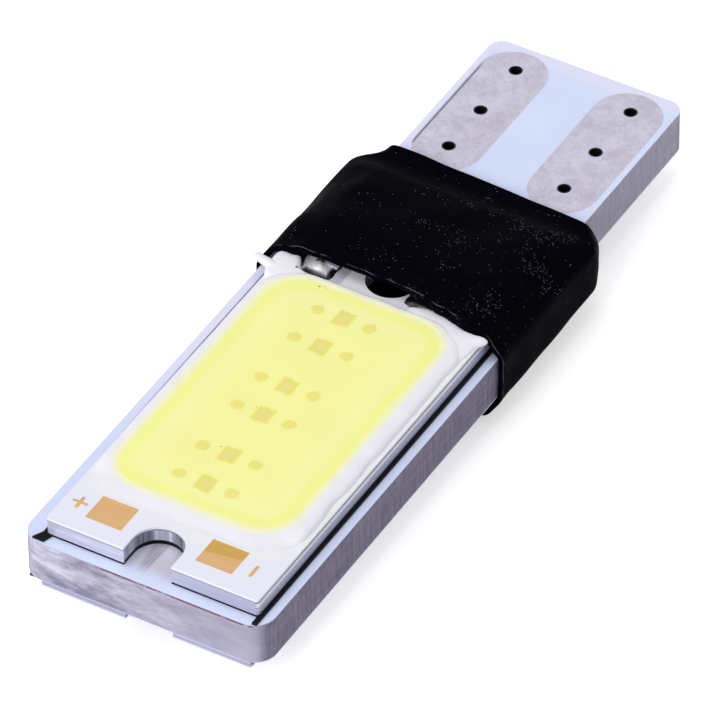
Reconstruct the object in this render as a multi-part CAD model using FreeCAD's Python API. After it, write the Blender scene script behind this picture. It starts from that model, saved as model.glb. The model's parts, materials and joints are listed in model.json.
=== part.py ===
import FreeCAD, Part
import math
import os

# Wedge base LED bulb: a T-shaped circuit board core with a chip-on-board light
# plate glued to each face, a driver on the board and a heat-shrink sleeve over it.
# Millimetres. Modelled with Y along the bulb from the nose, X across it and
# Z = 0 on the middle plane of the core; the lower face is the upper one turned
# half round about the long axis.

# Circuit board core
wide_width = 11.8
base_width = 9.5
base_length = 10.2
laminate_thickness = 2.0
mask_thickness = 0.05
nose_corner_radius = 1.0
shoulder_radius = 0.25
base_corner_radius = 0.7

# Base contacts, plated through the board
contact_width = 3.2
contact_side_margin = 0.28
contact_end_margin = 0.33
contact_root_margin = 1.12
contact_thickness = 0.06
via_hole_diameter = 0.5
via_plating = 0.05
outer_via_margin = 1.24
inner_via_margin = 1.63
middle_via_offset = 0.16

# Light plate, glued on a little to one side
plate_length = 20.85
plate_setback = 0.6
plate_side_margin = 0.8
plate_shift = 0.2
plate_thickness = 0.7
plate_corner_radius = 0.15
adhesive_thickness = 0.1
coat_thickness = 0.13
notch_width = 2.3
notch_depth = 1.97

# Adhesive squeezed out beside the plate
squeeze_right = 0.2
squeeze_left = 0.15
squeeze_front = 0.48
left_prong_reach = 0.4
left_prong_width = 0.15
right_prong_width = 0.03

# Copper pads in the white coat
pad_width = 1.74
pad_length = 1.5
pad_side_margin = 1.57
near_pad_from_edge = 0.85
far_pad_from_edge = 0.75
pad_recess = 0.05
pad_thickness = 0.035

# Silicone dam and the pool of phosphor inside it
pad_to_dam = 0.05
dam_edge_margin = 0.23
dam_side = 0.62
dam_near = 0.95
dam_far = 0.42
dam_height = 0.32
dam_corner_radius = 2.0
dam_shoulder_inset = 0.06
dam_shoulder_share = 0.6
dam_top_inset = 0.22
pool_corner_radius = 1.7
pool_below_dam = 0.04
tail_width = 0.45
tail_height = 0.26
left_tail_overhang = 0.85
right_tail_overhang = 0.05

# Light emitting chips in pairs of rows
chip_width = 0.75
chip_length = 0.92
chip_height = 0.15
chip_shift = -0.34
near_row_margin = 1.75
far_row_margin = 1.2
row_pitch = 2.03
pair_count = 3
rows_in_pair = 2
bond_pad_width = 0.5
bond_pad_length = 0.62
bond_pad_thickness = 0.03
bond_pad_offset = 1.3
bond_wire_size = 0.04
bond_wire_rise = 0.22

# Links from the light plate to the core
link_width = 0.7
link_thickness = 0.14
link_lift = 0.1
link_landing = 0.75
link_bend_radius = 0.22
plate_to_link_gap = 0.12
joint_height = 0.42
joint_margin = 0.06
joint_belly_share = 0.93
joint_top_share = 0.5
joint_corner_share = 0.25
landing_joint_width = 1.5
landing_joint_length = 1.3
landing_joint_height = 0.4

# Driver parts under the sleeve
driver_side_margin = 1.65
driver_gap = 0.4
shoulder_margin = 0.71
diode_length = 2.7
diode_width = 1.6
diode_height = 0.95
diode_lead_length = 0.45
diode_lead_width = 0.6
diode_lead_thickness = 0.15
diode_draft = 0.12
resistor_length = 3.2
resistor_width = 1.6
resistor_height = 0.55
resistor_cap_length = 0.5
resistor_cap_step = 0.04

# Heat-shrink sleeve
sleeve_wall = 0.22
sleeve_gap = 0.04
sleeve_onto_base = 1.05
mouth_left_from_plate_end = 0.95
mouth_middle_from_plate_end = 1.3
mouth_right_from_plate_end = 2.75
joint_side_clearance = 0.47
joint_clearance = 0.05
driver_clearance = 0.1
rear_crown_margin = 0.45
rear_stand_off = 0.5
sleeve_run_out = 1.0

# Across the bulb
plate_width = wide_width - 2 * plate_side_margin
plate_left = plate_shift - plate_width / 2
plate_right = plate_shift + plate_width / 2
pad_spacing = plate_width - pad_width - 2 * pad_side_margin
pool_half_width = plate_width / 2 - dam_edge_margin - dam_side
contact_spacing = base_width - contact_width - 2 * contact_side_margin
driver_spacing = wide_width - resistor_length - 2 * driver_side_margin

# Along the bulb from the nose
plate_start = plate_setback
plate_end = plate_start + plate_length
near_pad_middle = plate_start + near_pad_from_edge + pad_length / 2
far_pad_middle = plate_end - far_pad_from_edge - pad_length / 2
pool_start = near_pad_middle + pad_length / 2 + pad_to_dam + dam_near
pool_end = far_pad_middle - pad_length / 2 - pad_to_dam - dam_far
landing_start = plate_end + 2 * plate_to_link_gap
diode_middle = landing_start + landing_joint_length + driver_gap + diode_width / 2
resistor_middle = diode_middle + diode_width / 2 + driver_gap + resistor_width / 2
wide_length = resistor_middle + resistor_width / 2 + shoulder_margin
core_length = wide_length + base_length
contact_start = wide_length + contact_root_margin
contact_end = core_length - contact_end_margin
sleeve_rear = wide_length + sleeve_onto_base
mouth_left = plate_end - mouth_left_from_plate_end
mouth_middle = plate_end - mouth_middle_from_plate_end
mouth_right = plate_end - mouth_right_from_plate_end

# Up from the middle plane
laminate_top = laminate_thickness / 2
core_top = laminate_top + mask_thickness
plate_bottom = core_top + adhesive_thickness
plate_top = plate_bottom + plate_thickness
coat_top = plate_top + coat_thickness
pad_floor = coat_top - pad_recess
sleeve_crown = coat_top + joint_height + joint_clearance
rest_height = sleeve_crown + sleeve_wall

AHEAD = FreeCAD.Vector(0, 1, 0)
UP = FreeCAD.Vector(0, 0, 1)
CENTRE = FreeCAD.Vector(0, 0, 0)


def corner_frame(corners, index):
    """Give a corner's point, its two outgoing directions, inward bisector and half angle."""
    here = FreeCAD.Vector(*corners[index][:2], 0)
    before = FreeCAD.Vector(*corners[index - 1][:2], 0).sub(here).normalize()
    after = FreeCAD.Vector(*corners[(index + 1) % len(corners)][:2], 0).sub(here).normalize()
    half_angle = before.getAngle(after) / 2
    inward = before.add(after).normalize()
    return here, before, after, inward, half_angle


def rounded_outline(corners):
    """Close a flat outline through (x, y, radius) corners, each rounded by its own radius."""
    starts = []
    ends = []
    arcs = []
    for index, corner in enumerate(corners):
        radius = corner[2]
        here, before, after, inward, half_angle = corner_frame(corners, index)
        reach = radius / math.tan(half_angle)
        start = here.add(before.multiply(reach))
        end = here.add(after.multiply(reach))
        middle = here.add(inward.multiply(radius / math.sin(half_angle) - radius))
        starts.append(start)
        ends.append(end)
        arcs.append(Part.Arc(start, middle, end).toShape() if radius > 0 else None)
    edges = []
    for index, arc in enumerate(arcs):
        if arc is not None:
            edges.append(arc)
        next_start = starts[(index + 1) % len(starts)]
        if ends[index].distanceToPoint(next_start) > 1e-6:
            edges.append(Part.makeLine(ends[index], next_start))
    return Part.Wire(edges)


def rectangle_outline(x_low, x_high, y_low, y_high, radius):
    """Outline a rectangle with rounded corners."""
    return rounded_outline([
        (x_low, y_low, radius),
        (x_high, y_low, radius),
        (x_high, y_high, radius),
        (x_low, y_high, radius),
    ])


def slab(outline, z_low, thickness):
    """Raise a flat outline into a slab that starts at z_low."""
    face = Part.Face(outline)
    face.translate(FreeCAD.Vector(0, 0, z_low))
    return face.extrude(FreeCAD.Vector(0, 0, thickness))


def block(x_middle, y_middle, z_low, width, length, height):
    """Make a plain block standing on z_low over its middle point."""
    corner = FreeCAD.Vector(x_middle - width / 2, y_middle - length / 2, z_low)
    return Part.makeBox(width, length, height, corner)


def ruled_stack(sections):
    """Join flat outlines, each given with its height, by straight-sided skins."""
    placed = []
    for outline, z in sections:
        outline.translate(FreeCAD.Vector(0, 0, z))
        placed.append(outline)
    return Part.makeLoft(placed, True, True)


def cut_all(shape, tools):
    """Cut each tool from the shape in turn."""
    for tool in tools:
        shape = shape.cut(tool)
    return shape


def turned_over(shape):
    """Turn an upper piece half round the long axis to make its twin below."""
    twin = shape.copy()
    twin.rotate(CENTRE, AHEAD, 180)
    return twin


def core_outline():
    """Outline the T-shaped board: a wide light end and a narrower wedge base."""
    return rounded_outline([
        (-wide_width / 2, 0, nose_corner_radius),
        (wide_width / 2, 0, nose_corner_radius),
        (wide_width / 2, wide_length, shoulder_radius),
        (base_width / 2, wide_length, shoulder_radius),
        (base_width / 2, core_length, base_corner_radius),
        (-base_width / 2, core_length, base_corner_radius),
        (-base_width / 2, wide_length, shoulder_radius),
        (-wide_width / 2, wide_length, shoulder_radius),
    ])


def contact_outline(side):
    """Outline one long contact with fully rounded ends."""
    middle = side * contact_spacing / 2
    return rectangle_outline(
        middle - contact_width / 2, middle + contact_width / 2,
        contact_start, contact_end, contact_width / 2)


def via_stations():
    """List the distance of each plated hole from the nose."""
    outer = contact_end - outer_via_margin
    inner = contact_start + inner_via_margin
    return [outer, (outer + inner) / 2 - middle_via_offset, inner]


def via_column(side, y_place, diameter):
    """Make a round column through the whole board at one plated hole."""
    half_height = laminate_top + contact_thickness
    foot = FreeCAD.Vector(side * contact_spacing / 2, y_place, -half_height)
    return Part.makeCylinder(diameter / 2, 2 * half_height, foot, UP)


def contact(side):
    """Make one base contact: a pad on each face joined by plated holes."""
    upper = slab(contact_outline(side), laminate_top, contact_thickness)
    lower = slab(contact_outline(side), -laminate_top - contact_thickness, contact_thickness)
    shape = upper.fuse(lower)
    for y_place in via_stations():
        barrel_diameter = via_hole_diameter + 2 * via_plating
        shape = shape.fuse(via_column(side, y_place, barrel_diameter))
    for y_place in via_stations():
        shape = shape.cut(via_column(side, y_place, via_hole_diameter))
    return shape.removeSplitter()


def circuit_board():
    """Make the fibreglass laminate with a drilled hole for each plated barrel."""
    shape = slab(core_outline(), -laminate_top, laminate_thickness)
    for side in (-1, 1):
        for y_place in via_stations():
            shape = shape.cut(via_column(side, y_place, via_hole_diameter + 2 * via_plating))
    return shape


def solder_mask(openings):
    """Make the white mask over one face, open at the contacts and at every soldered foot."""
    shape = slab(core_outline(), laminate_top, mask_thickness)
    for side in (-1, 1):
        shape = shape.cut(slab(contact_outline(side), laminate_top, mask_thickness))
    return cut_all(shape, openings)


def notch_tool(mouth_y, inward):
    """Make the round-ended slot that is milled into one end of the light plate."""
    deep_y = mouth_y + inward * notch_depth
    open_y = mouth_y - inward * notch_width
    outline = rectangle_outline(
        -notch_width / 2, notch_width / 2,
        min(open_y, deep_y), max(open_y, deep_y), notch_width / 2)
    return slab(outline, core_top, coat_top)


def notched(shape):
    """Mill the notch into both ends of a layer of the light plate."""
    return cut_all(shape, [notch_tool(plate_start, 1), notch_tool(plate_end, -1)])


def plate_outline():
    """Outline the light plate without its notches."""
    return rectangle_outline(
        plate_left, plate_right, plate_start, plate_end, plate_corner_radius)


def thermal_adhesive():
    """Make the black adhesive film, squeezed out along both long edges of the plate.

    It runs out further at the front left corner, and shows as the floor of the far notch.
    """
    front = plate_start - squeeze_front
    left = plate_left - squeeze_left
    right = plate_right + squeeze_right
    outline = rounded_outline([
        (plate_left - left_prong_reach, front, 0),
        (plate_left + left_prong_width, front, 0),
        (plate_left + 2 * left_prong_width, plate_start, 0),
        (plate_right - right_prong_width, plate_start, 0),
        (plate_right - right_prong_width, front, 0),
        (right, front, 0),
        (right, plate_end, 0),
        (left, plate_end, 0),
        (left, plate_start, 0),
    ])
    return slab(outline, core_top, adhesive_thickness).cut(notch_tool(plate_start, 1))


def light_plate():
    """Make the aluminium plate that carries the chips and spreads their heat."""
    return notched(slab(plate_outline(), plate_bottom, plate_thickness))


def pad_places(y_middle):
    """List the left and right pad middles at one distance from the nose."""
    return [(side * pad_spacing / 2, y_middle) for side in (-1, 1)]


def white_coat():
    """Make the white coat of the plate, sunk where a copper pad lies open."""
    shape = notched(slab(plate_outline(), plate_top, coat_thickness))
    for x_middle, y_middle in pad_places(near_pad_middle) + pad_places(far_pad_middle):
        pocket = block(x_middle, y_middle, pad_floor, pad_width, pad_length, pad_recess)
        shape = shape.cut(pocket)
    return shape


def copper_pads(y_middle):
    """Make the pair of copper pads near one end of the plate."""
    return [block(x_middle, y, pad_floor, pad_width, pad_length, pad_thickness)
            for x_middle, y in pad_places(y_middle)]


def chip_rows():
    """List the distance of each chip from the nose, close rows in evenly spread pairs."""
    first = pool_start + near_row_margin
    last = pool_end - far_row_margin - (rows_in_pair - 1) * row_pitch
    pair_pitch = (last - first) / (pair_count - 1)
    return [first + pair * pair_pitch + row * row_pitch
            for pair in range(pair_count) for row in range(rows_in_pair)]


def light_chips():
    """Make the light emitting chips, one to each row."""
    return [block(chip_shift, y, coat_top, chip_width, chip_length, chip_height)
            for y in chip_rows()]


def bond_pads():
    """Make the two small pads beside each chip that its bond wires land on."""
    return [block(chip_shift + side * bond_pad_offset, y, coat_top,
                  bond_pad_width, bond_pad_length, bond_pad_thickness)
            for y in chip_rows() for side in (-1, 1)]


def bond_wire(side, y_middle):
    """Make one gold bond wire: up from the chip, across and down to its pad."""
    line = [
        (chip_width / 4, chip_height),
        (chip_width / 2, bond_wire_rise),
        (bond_pad_offset, bond_pad_thickness),
    ]
    upper = [(across, rise + bond_wire_size) for across, rise in reversed(line)]
    ring = line + upper + line[:1]
    y_start = y_middle - bond_wire_size / 2
    points = [FreeCAD.Vector(chip_shift + side * across, y_start, coat_top + rise)
              for across, rise in ring]
    face = Part.Face(Part.makePolygon(points))
    return face.extrude(FreeCAD.Vector(0, bond_wire_size, 0))


def bond_wires():
    """Make the two bond wires of every chip."""
    return [bond_wire(side, y) for y in chip_rows() for side in (-1, 1)]


def pool_outline():
    """Outline the yellow pool inside the dam."""
    return rectangle_outline(
        -pool_half_width, pool_half_width, pool_start, pool_end, pool_corner_radius)


def phosphor_pool(buried):
    """Fill the dam with phosphor gel around the chips, pads and wires that it buries."""
    shape = slab(pool_outline(), coat_top, dam_height - pool_below_dam)
    return cut_all(shape, buried)


def dam_outline(inset):
    """Outline the dam's outer side, drawn in by an inset as it rounds over towards its top."""
    half = pool_half_width + dam_side - inset
    return rectangle_outline(
        -half, half, pool_start - dam_near + inset, pool_end + dam_far - inset,
        dam_corner_radius - inset)


def dam_body():
    """Make the dam as a filled mound, steep at its foot and sloping in at its top."""
    return ruled_stack([
        (dam_outline(0), coat_top),
        (dam_outline(dam_shoulder_inset), coat_top + dam_height * dam_shoulder_share),
        (dam_outline(dam_top_inset), coat_top + dam_height),
    ])


def dam_tail(x_low, x_high):
    """Make the low run of silicone that overshoots the dam at its far corners."""
    y_high = pool_end + dam_far
    outline = rectangle_outline(x_low, x_high, y_high - tail_width, y_high, tail_width / 2)
    return slab(outline, coat_top, tail_height)


def silicone_dam():
    """Make the white silicone dam, a wall round the pool."""
    return dam_body().cut(slab(pool_outline(), coat_top, dam_height))


def tailed_dam(sleeve):
    """Make the dam of the upper face, where the bead overshoots both corners at the sleeve."""
    corner_start = pool_half_width + dam_side - dam_corner_radius
    whole = dam_body()
    whole = whole.fuse(dam_tail(plate_left - left_tail_overhang, -corner_start))
    whole = whole.fuse(dam_tail(corner_start, plate_right + right_tail_overhang))
    pool_space = slab(pool_outline(), coat_top, dam_height)
    return cut_all(whole, [pool_space, sleeve]).removeSplitter()


def link_profile():
    """Trace the side view of a link strip from the plate's pad down to the board."""
    high = coat_top + link_lift
    low = laminate_top
    drop_y = plate_end + plate_to_link_gap
    bend = link_bend_radius
    t = link_thickness
    return [
        (far_pad_middle, high, 0),
        (drop_y, high, bend),
        (drop_y, low, 0),
        (drop_y + t + link_landing, low, 0),
        (drop_y + t + link_landing, low + t, 0),
        (drop_y + t, low + t, 0),
        (drop_y + t, high + t, bend + t),
        (far_pad_middle, high + t, 0),
    ]


def link_strip(side):
    """Make one tinned strip that links a pad of the plate to the board."""
    face = Part.Face(rounded_outline(link_profile()))
    strip = face.extrude(FreeCAD.Vector(0, 0, link_width))
    strip.rotate(CENTRE, FreeCAD.Vector(1, 1, 1), 120)
    strip.translate(FreeCAD.Vector(side * pad_spacing / 2 - link_width / 2, 0, 0))
    return strip


def heap_outline(x_middle, y_middle, width, length):
    """Outline a solder heap: a rectangle with its corners cut off."""
    cut = min(width, length) * joint_corner_share
    right = x_middle + width / 2
    left = x_middle - width / 2
    far = y_middle + length / 2
    near = y_middle - length / 2
    return rounded_outline([
        (left + cut, near, 0),
        (right - cut, near, 0),
        (right, near + cut, 0),
        (right, far - cut, 0),
        (right - cut, far, 0),
        (left + cut, far, 0),
        (left, far - cut, 0),
        (left, near + cut, 0),
    ])


def solder_heap(x_middle, y_middle, width, length, z_low, z_high):
    """Make one heap of solder, bellied below and narrower at its top."""
    z_belly = (z_low + z_high) / 2
    steps = ((1, z_low), (joint_belly_share, z_belly), (joint_top_share, z_high))
    return ruled_stack([
        (heap_outline(x_middle, y_middle, width * share, length * share), z)
        for share, z in steps])


def plate_joint(side):
    """Make the solder heap over one far pad, with the link's end buried in it."""
    heap = solder_heap(
        side * pad_spacing / 2, far_pad_middle,
        pad_width - 2 * joint_margin, pad_length - 2 * joint_margin,
        pad_floor + pad_thickness, coat_top + joint_height)
    return heap.cut(link_strip(side))


def landing_joint(side):
    """Make the solder heap that holds a link's foot on the board."""
    heap = solder_heap(
        side * pad_spacing / 2, landing_start + landing_joint_length / 2,
        landing_joint_width, landing_joint_length,
        laminate_top, laminate_top + landing_joint_height)
    return heap.cut(link_strip(side))


def resistor(side):
    """Make one chip resistor: a flat body with a slightly thicker cap at each end."""
    x_middle = side * driver_spacing / 2
    shape = block(x_middle, resistor_middle, laminate_top + resistor_cap_step,
                  resistor_length, resistor_width - 2 * resistor_cap_step,
                  resistor_height - 2 * resistor_cap_step)
    for end in (-1, 1):
        cap_x = x_middle + end * (resistor_length - resistor_cap_length) / 2
        cap = block(cap_x, resistor_middle, laminate_top,
                    resistor_cap_length, resistor_width, resistor_height)
        shape = shape.fuse(cap)
    return shape.removeSplitter()


def diode(side):
    """Make one rectifier diode: a moulded body with draft and a flat lead at each end."""
    x_middle = side * driver_spacing / 2
    steps = (
        (diode_draft, laminate_top + diode_lead_thickness / 3),
        (0, laminate_top + diode_height / 2),
        (diode_draft, laminate_top + diode_height),
    )
    half_length = diode_length / 2
    half_width = diode_width / 2
    body = ruled_stack([
        (rectangle_outline(
            x_middle - half_length + draft, x_middle + half_length - draft,
            diode_middle - half_width + draft, diode_middle + half_width - draft, 0), z)
        for draft, z in steps])
    leads = block(x_middle, diode_middle, laminate_top,
                  diode_length + 2 * diode_lead_length, diode_lead_width, diode_lead_thickness)
    return body.fuse(leads).removeSplitter()


def both_sides(maker):
    """Make a left and a right copy of a piece."""
    return [maker(side) for side in (-1, 1)]


def sleeve_corners(side_half, edge_z, shoulder_half, shoulder_z, crown_half, crown_z):
    """List a sleeve section's corners, the hull that film draws round the stack inside.

    The last number of a corner tells how far its outer skin is rounded: fully at the
    board's own edges, and not at all where the film only bends a little.
    """
    quarter = [(side_half, edge_z, 1), (shoulder_half, shoulder_z, 0), (crown_half, crown_z, 0)]
    upper = quarter + [(-x, z, share) for x, z, share in reversed(quarter)]
    lower = [(x, -z, share) for x, z, share in reversed(upper)]
    return upper + lower


def sleeve_stations():
    """List the distance along the bulb and the bore corners at each sleeve station."""
    wide_half = wide_width / 2 + sleeve_gap
    base_half = base_width / 2 + sleeve_gap
    edge = core_top + sleeve_gap
    plate_half = plate_right + sleeve_gap
    plate_level = coat_top + sleeve_gap
    mouth_crown_half = pad_spacing / 2 + pad_width / 2 + joint_side_clearance
    driver_crown_half = driver_spacing / 2 + resistor_length / 2 + sleeve_gap
    diode_crown = laminate_top + diode_height + driver_clearance
    resistor_crown = laminate_top + resistor_height + driver_clearance
    contact_crown = laminate_top + contact_thickness + sleeve_gap
    tall = sleeve_corners(
        wide_half, edge, plate_half, plate_level, mouth_crown_half, sleeve_crown)
    rear = sleeve_corners(
        base_half + rear_stand_off, core_top / 3, base_half, contact_crown,
        base_half - rear_crown_margin, contact_crown + sleeve_gap / 2)
    return [
        (min(mouth_left, mouth_right) - sleeve_run_out, tall),
        (landing_start + link_thickness + link_bend_radius, tall),
        (diode_middle + diode_width / 2, sleeve_corners(
            wide_half, edge, plate_half, (edge + diode_crown) / 2,
            driver_crown_half, diode_crown)),
        (resistor_middle + resistor_width / 2, sleeve_corners(
            wide_half, edge, plate_half, (edge + resistor_crown) / 2,
            driver_crown_half, resistor_crown)),
        (wide_length + sleeve_gap, sleeve_corners(
            wide_half, edge, plate_half, edge + sleeve_gap / 2,
            driver_crown_half, edge + sleeve_gap)),
        (sleeve_rear, rear),
        (sleeve_rear + sleeve_run_out, rear),
    ]


def grown_corners(corners, growth):
    """Move every corner of a convex section outward so its sides move out by the growth."""
    moved = []
    for index in range(len(corners)):
        here, before, after, inward, half_angle = corner_frame(corners, index)
        away = inward.multiply(-growth / math.sin(half_angle))
        moved.append((here.x + away.x, here.y + away.y, corners[index][2]))
    return moved


def sleeve_section(y_place, corners, radius):
    """Stand a rounded section upright at one distance along the bulb."""
    outline = rounded_outline([(x, z, radius * share) for x, z, share in corners])
    outline.rotate(CENTRE, FreeCAD.Vector(1, 0, 0), 90)
    outline.translate(FreeCAD.Vector(0, y_place, 0))
    return outline


def sleeve_loft(growth, radius):
    """Draw one skin of the sleeve through all its stations."""
    sections = []
    for y_place, corners in sleeve_stations():
        skin = grown_corners(corners, growth) if growth > 0 else corners
        sections.append(sleeve_section(y_place, skin, radius))
    return Part.makeLoft(sections, True, True)


def mouth_tool():
    """Make the space in front of the sleeve's mouth, which is cut along a shallow curve."""
    reach = wide_width
    half = wide_width / 2
    left = FreeCAD.Vector(-half, mouth_left, -reach)
    middle = FreeCAD.Vector(0, mouth_middle, -reach)
    right = FreeCAD.Vector(half, mouth_right, -reach)
    far_left = FreeCAD.Vector(-reach, mouth_left, -reach)
    far_right = FreeCAD.Vector(reach, mouth_right, -reach)
    near_right = FreeCAD.Vector(reach, 0, -reach)
    near_left = FreeCAD.Vector(-reach, 0, -reach)
    outline = Part.Wire([
        Part.makeLine(far_left, left),
        Part.Arc(left, middle, right).toShape(),
        Part.makeLine(right, far_right),
        Part.makeLine(far_right, near_right),
        Part.makeLine(near_right, near_left),
        Part.makeLine(near_left, far_left),
    ])
    return Part.Face(outline).extrude(FreeCAD.Vector(0, 0, 2 * reach))


def heat_shrink_sleeve():
    """Make the black sleeve, shrunk tight from over the light plates down onto the base."""
    outer = sleeve_loft(sleeve_wall, sleeve_wall)
    inner = sleeve_loft(0, 0)
    tube = outer.cut(inner)
    reach = wide_width
    behind = Part.makeBox(2 * reach, reach, 2 * reach, FreeCAD.Vector(-reach, sleeve_rear, -reach))
    return cut_all(tube, [behind, mouth_tool()])


def face_pieces(dam):
    """Make every piece that both faces have, by name, as it lies on the upper face."""
    links = both_sides(link_strip)
    landings = both_sides(landing_joint)
    resistors = both_sides(resistor)
    diodes = both_sides(diode)
    chips = light_chips()
    chip_pads = bond_pads()
    wires = bond_wires()
    feet = links + landings + resistors + diodes
    return {
        "solder_mask": [solder_mask(feet)],
        "thermal_adhesive": [thermal_adhesive()],
        "light_plate": [light_plate()],
        "white_coat": [white_coat()],
        "near_copper_pads": copper_pads(near_pad_middle),
        "far_copper_pads": copper_pads(far_pad_middle),
        "light_chips": chips,
        "bond_pads": chip_pads,
        "bond_wires": wires,
        "silicone_dam": [dam],
        "phosphor_pool": [phosphor_pool(chips + chip_pads + wires)],
        "link_strips": links,
        "plate_solder_joints": both_sides(plate_joint),
        "board_solder_joints": landings,
        "diodes": diodes,
        "resistors": resistors,
    }


def write_node(name, shapes):
    """Set a node down in the stored frame, its lowest face at Z = 0, and write it."""
    shape = shapes[0] if len(shapes) == 1 else Part.makeCompound(shapes)
    placed = shape.copy()
    placed.translate(FreeCAD.Vector(0, -core_length / 2, rest_height))
    placed.exportStep(os.path.join("parts", name + ".step"))


def main():
    """Build and write every piece of the bulb."""
    os.makedirs("parts", exist_ok=True)
    sleeve = heat_shrink_sleeve()
    write_node("circuit_board", [circuit_board()])
    write_node("left_base_contact", [contact(-1)])
    write_node("right_base_contact", [contact(1)])
    write_node("heat_shrink_sleeve", [sleeve])
    for name, shapes in face_pieces(tailed_dam(sleeve)).items():
        write_node("upper_" + name, shapes)
    for name, shapes in face_pieces(silicone_dam()).items():
        write_node("lower_" + name, [turned_over(shape) for shape in shapes])


main()
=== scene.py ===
"""Looks of a flat wedge base bulb: soft silicone, phosphor, solder, film and their finishes.

Shapes are worked out in millimetres in the bulb's own frame: X across, Y from the light
end to the wedge base, Z up from the lowest face. They are scaled to metres when made.
The lower face is the upper one turned half round about the bulb's long axis.
"""

import json
import logging
import math
from abc import ABC, abstractmethod
from dataclasses import dataclass
from enum import Enum

import bpy
import numpy as np
from mathutils import Matrix


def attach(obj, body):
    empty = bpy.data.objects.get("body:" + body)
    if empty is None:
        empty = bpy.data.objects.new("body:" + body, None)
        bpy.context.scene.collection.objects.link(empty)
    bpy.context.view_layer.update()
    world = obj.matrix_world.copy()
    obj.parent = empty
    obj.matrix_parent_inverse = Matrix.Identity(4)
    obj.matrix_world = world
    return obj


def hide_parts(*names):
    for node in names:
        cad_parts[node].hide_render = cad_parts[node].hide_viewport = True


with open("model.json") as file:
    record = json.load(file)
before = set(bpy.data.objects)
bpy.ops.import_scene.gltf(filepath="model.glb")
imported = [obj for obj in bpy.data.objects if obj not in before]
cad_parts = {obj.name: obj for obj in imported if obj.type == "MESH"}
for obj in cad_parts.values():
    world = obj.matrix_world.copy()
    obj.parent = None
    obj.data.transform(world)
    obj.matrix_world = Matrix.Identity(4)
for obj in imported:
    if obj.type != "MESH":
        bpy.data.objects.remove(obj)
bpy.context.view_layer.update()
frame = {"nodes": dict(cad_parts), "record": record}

LOG = logging.getLogger("bulb")
MM = 0.001
BODY = "root"
MIDDLE = 2.67
COAT_TOP = 1.98
WHITE = (1.0, 1.0, 1.0, 1.0)

Colour = tuple[float, float, float, float]
Span = tuple[float, float]
Triple = tuple[float, float, float]
Socket = bpy.types.NodeSocket
Value = Socket | float | Colour | Triple

# Values between which a mottle passes from its dark to its pale clouds.
CLOUDS: Span = (0.2, 0.8)


def shade(red: float, green: float, blue: float) -> Colour:
    """Turn display values from 0 to 255 into the linear colour that a shader takes.

    Args:
        red: Red on the display scale.
        green: Green on the display scale.
        blue: Blue on the display scale.

    Returns:
        The linear colour with full opacity.
    """
    display = np.array([red, green, blue]) / 255
    linear = np.where(display <= 0.04045, display / 12.92, ((display + 0.055) / 1.055) ** 2.4)
    return (*[float(part) for part in linear], 1.0)


class Face(Enum):
    """The two faces of the bulb."""

    UPPER = "upper"
    LOWER = "lower"

    def place(self, points: np.ndarray) -> np.ndarray:
        """Set points of the upper face, given from the middle plane, down on this face.

        Args:
            points: Points with Z measured up from the middle plane.

        Returns:
            The points in the bulb's frame, turned half round for the lower face.
        """
        turn = 1.0 if self is Face.UPPER else -1.0
        return points * np.array([turn, 1.0, turn]) + np.array([0.0, 0.0, MIDDLE])


class Hand(Enum):
    """Left and right on the upper face, seen from above with the base away."""

    LEFT = -1
    RIGHT = 1


class Sum(Enum):
    """Arithmetic that a node can do on one or two values."""

    ADD = "ADD"
    TAKE = "SUBTRACT"
    TIMES = "MULTIPLY"
    OVER = "DIVIDE"
    LEAST = "MINIMUM"
    MOST = "MAXIMUM"
    SIZE = "ABSOLUTE"
    SIGN = "SIGN"
    WRAP = "FLOORED_MODULO"
    ROOT = "SQRT"
    OVER_LIMIT = "GREATER_THAN"


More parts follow.
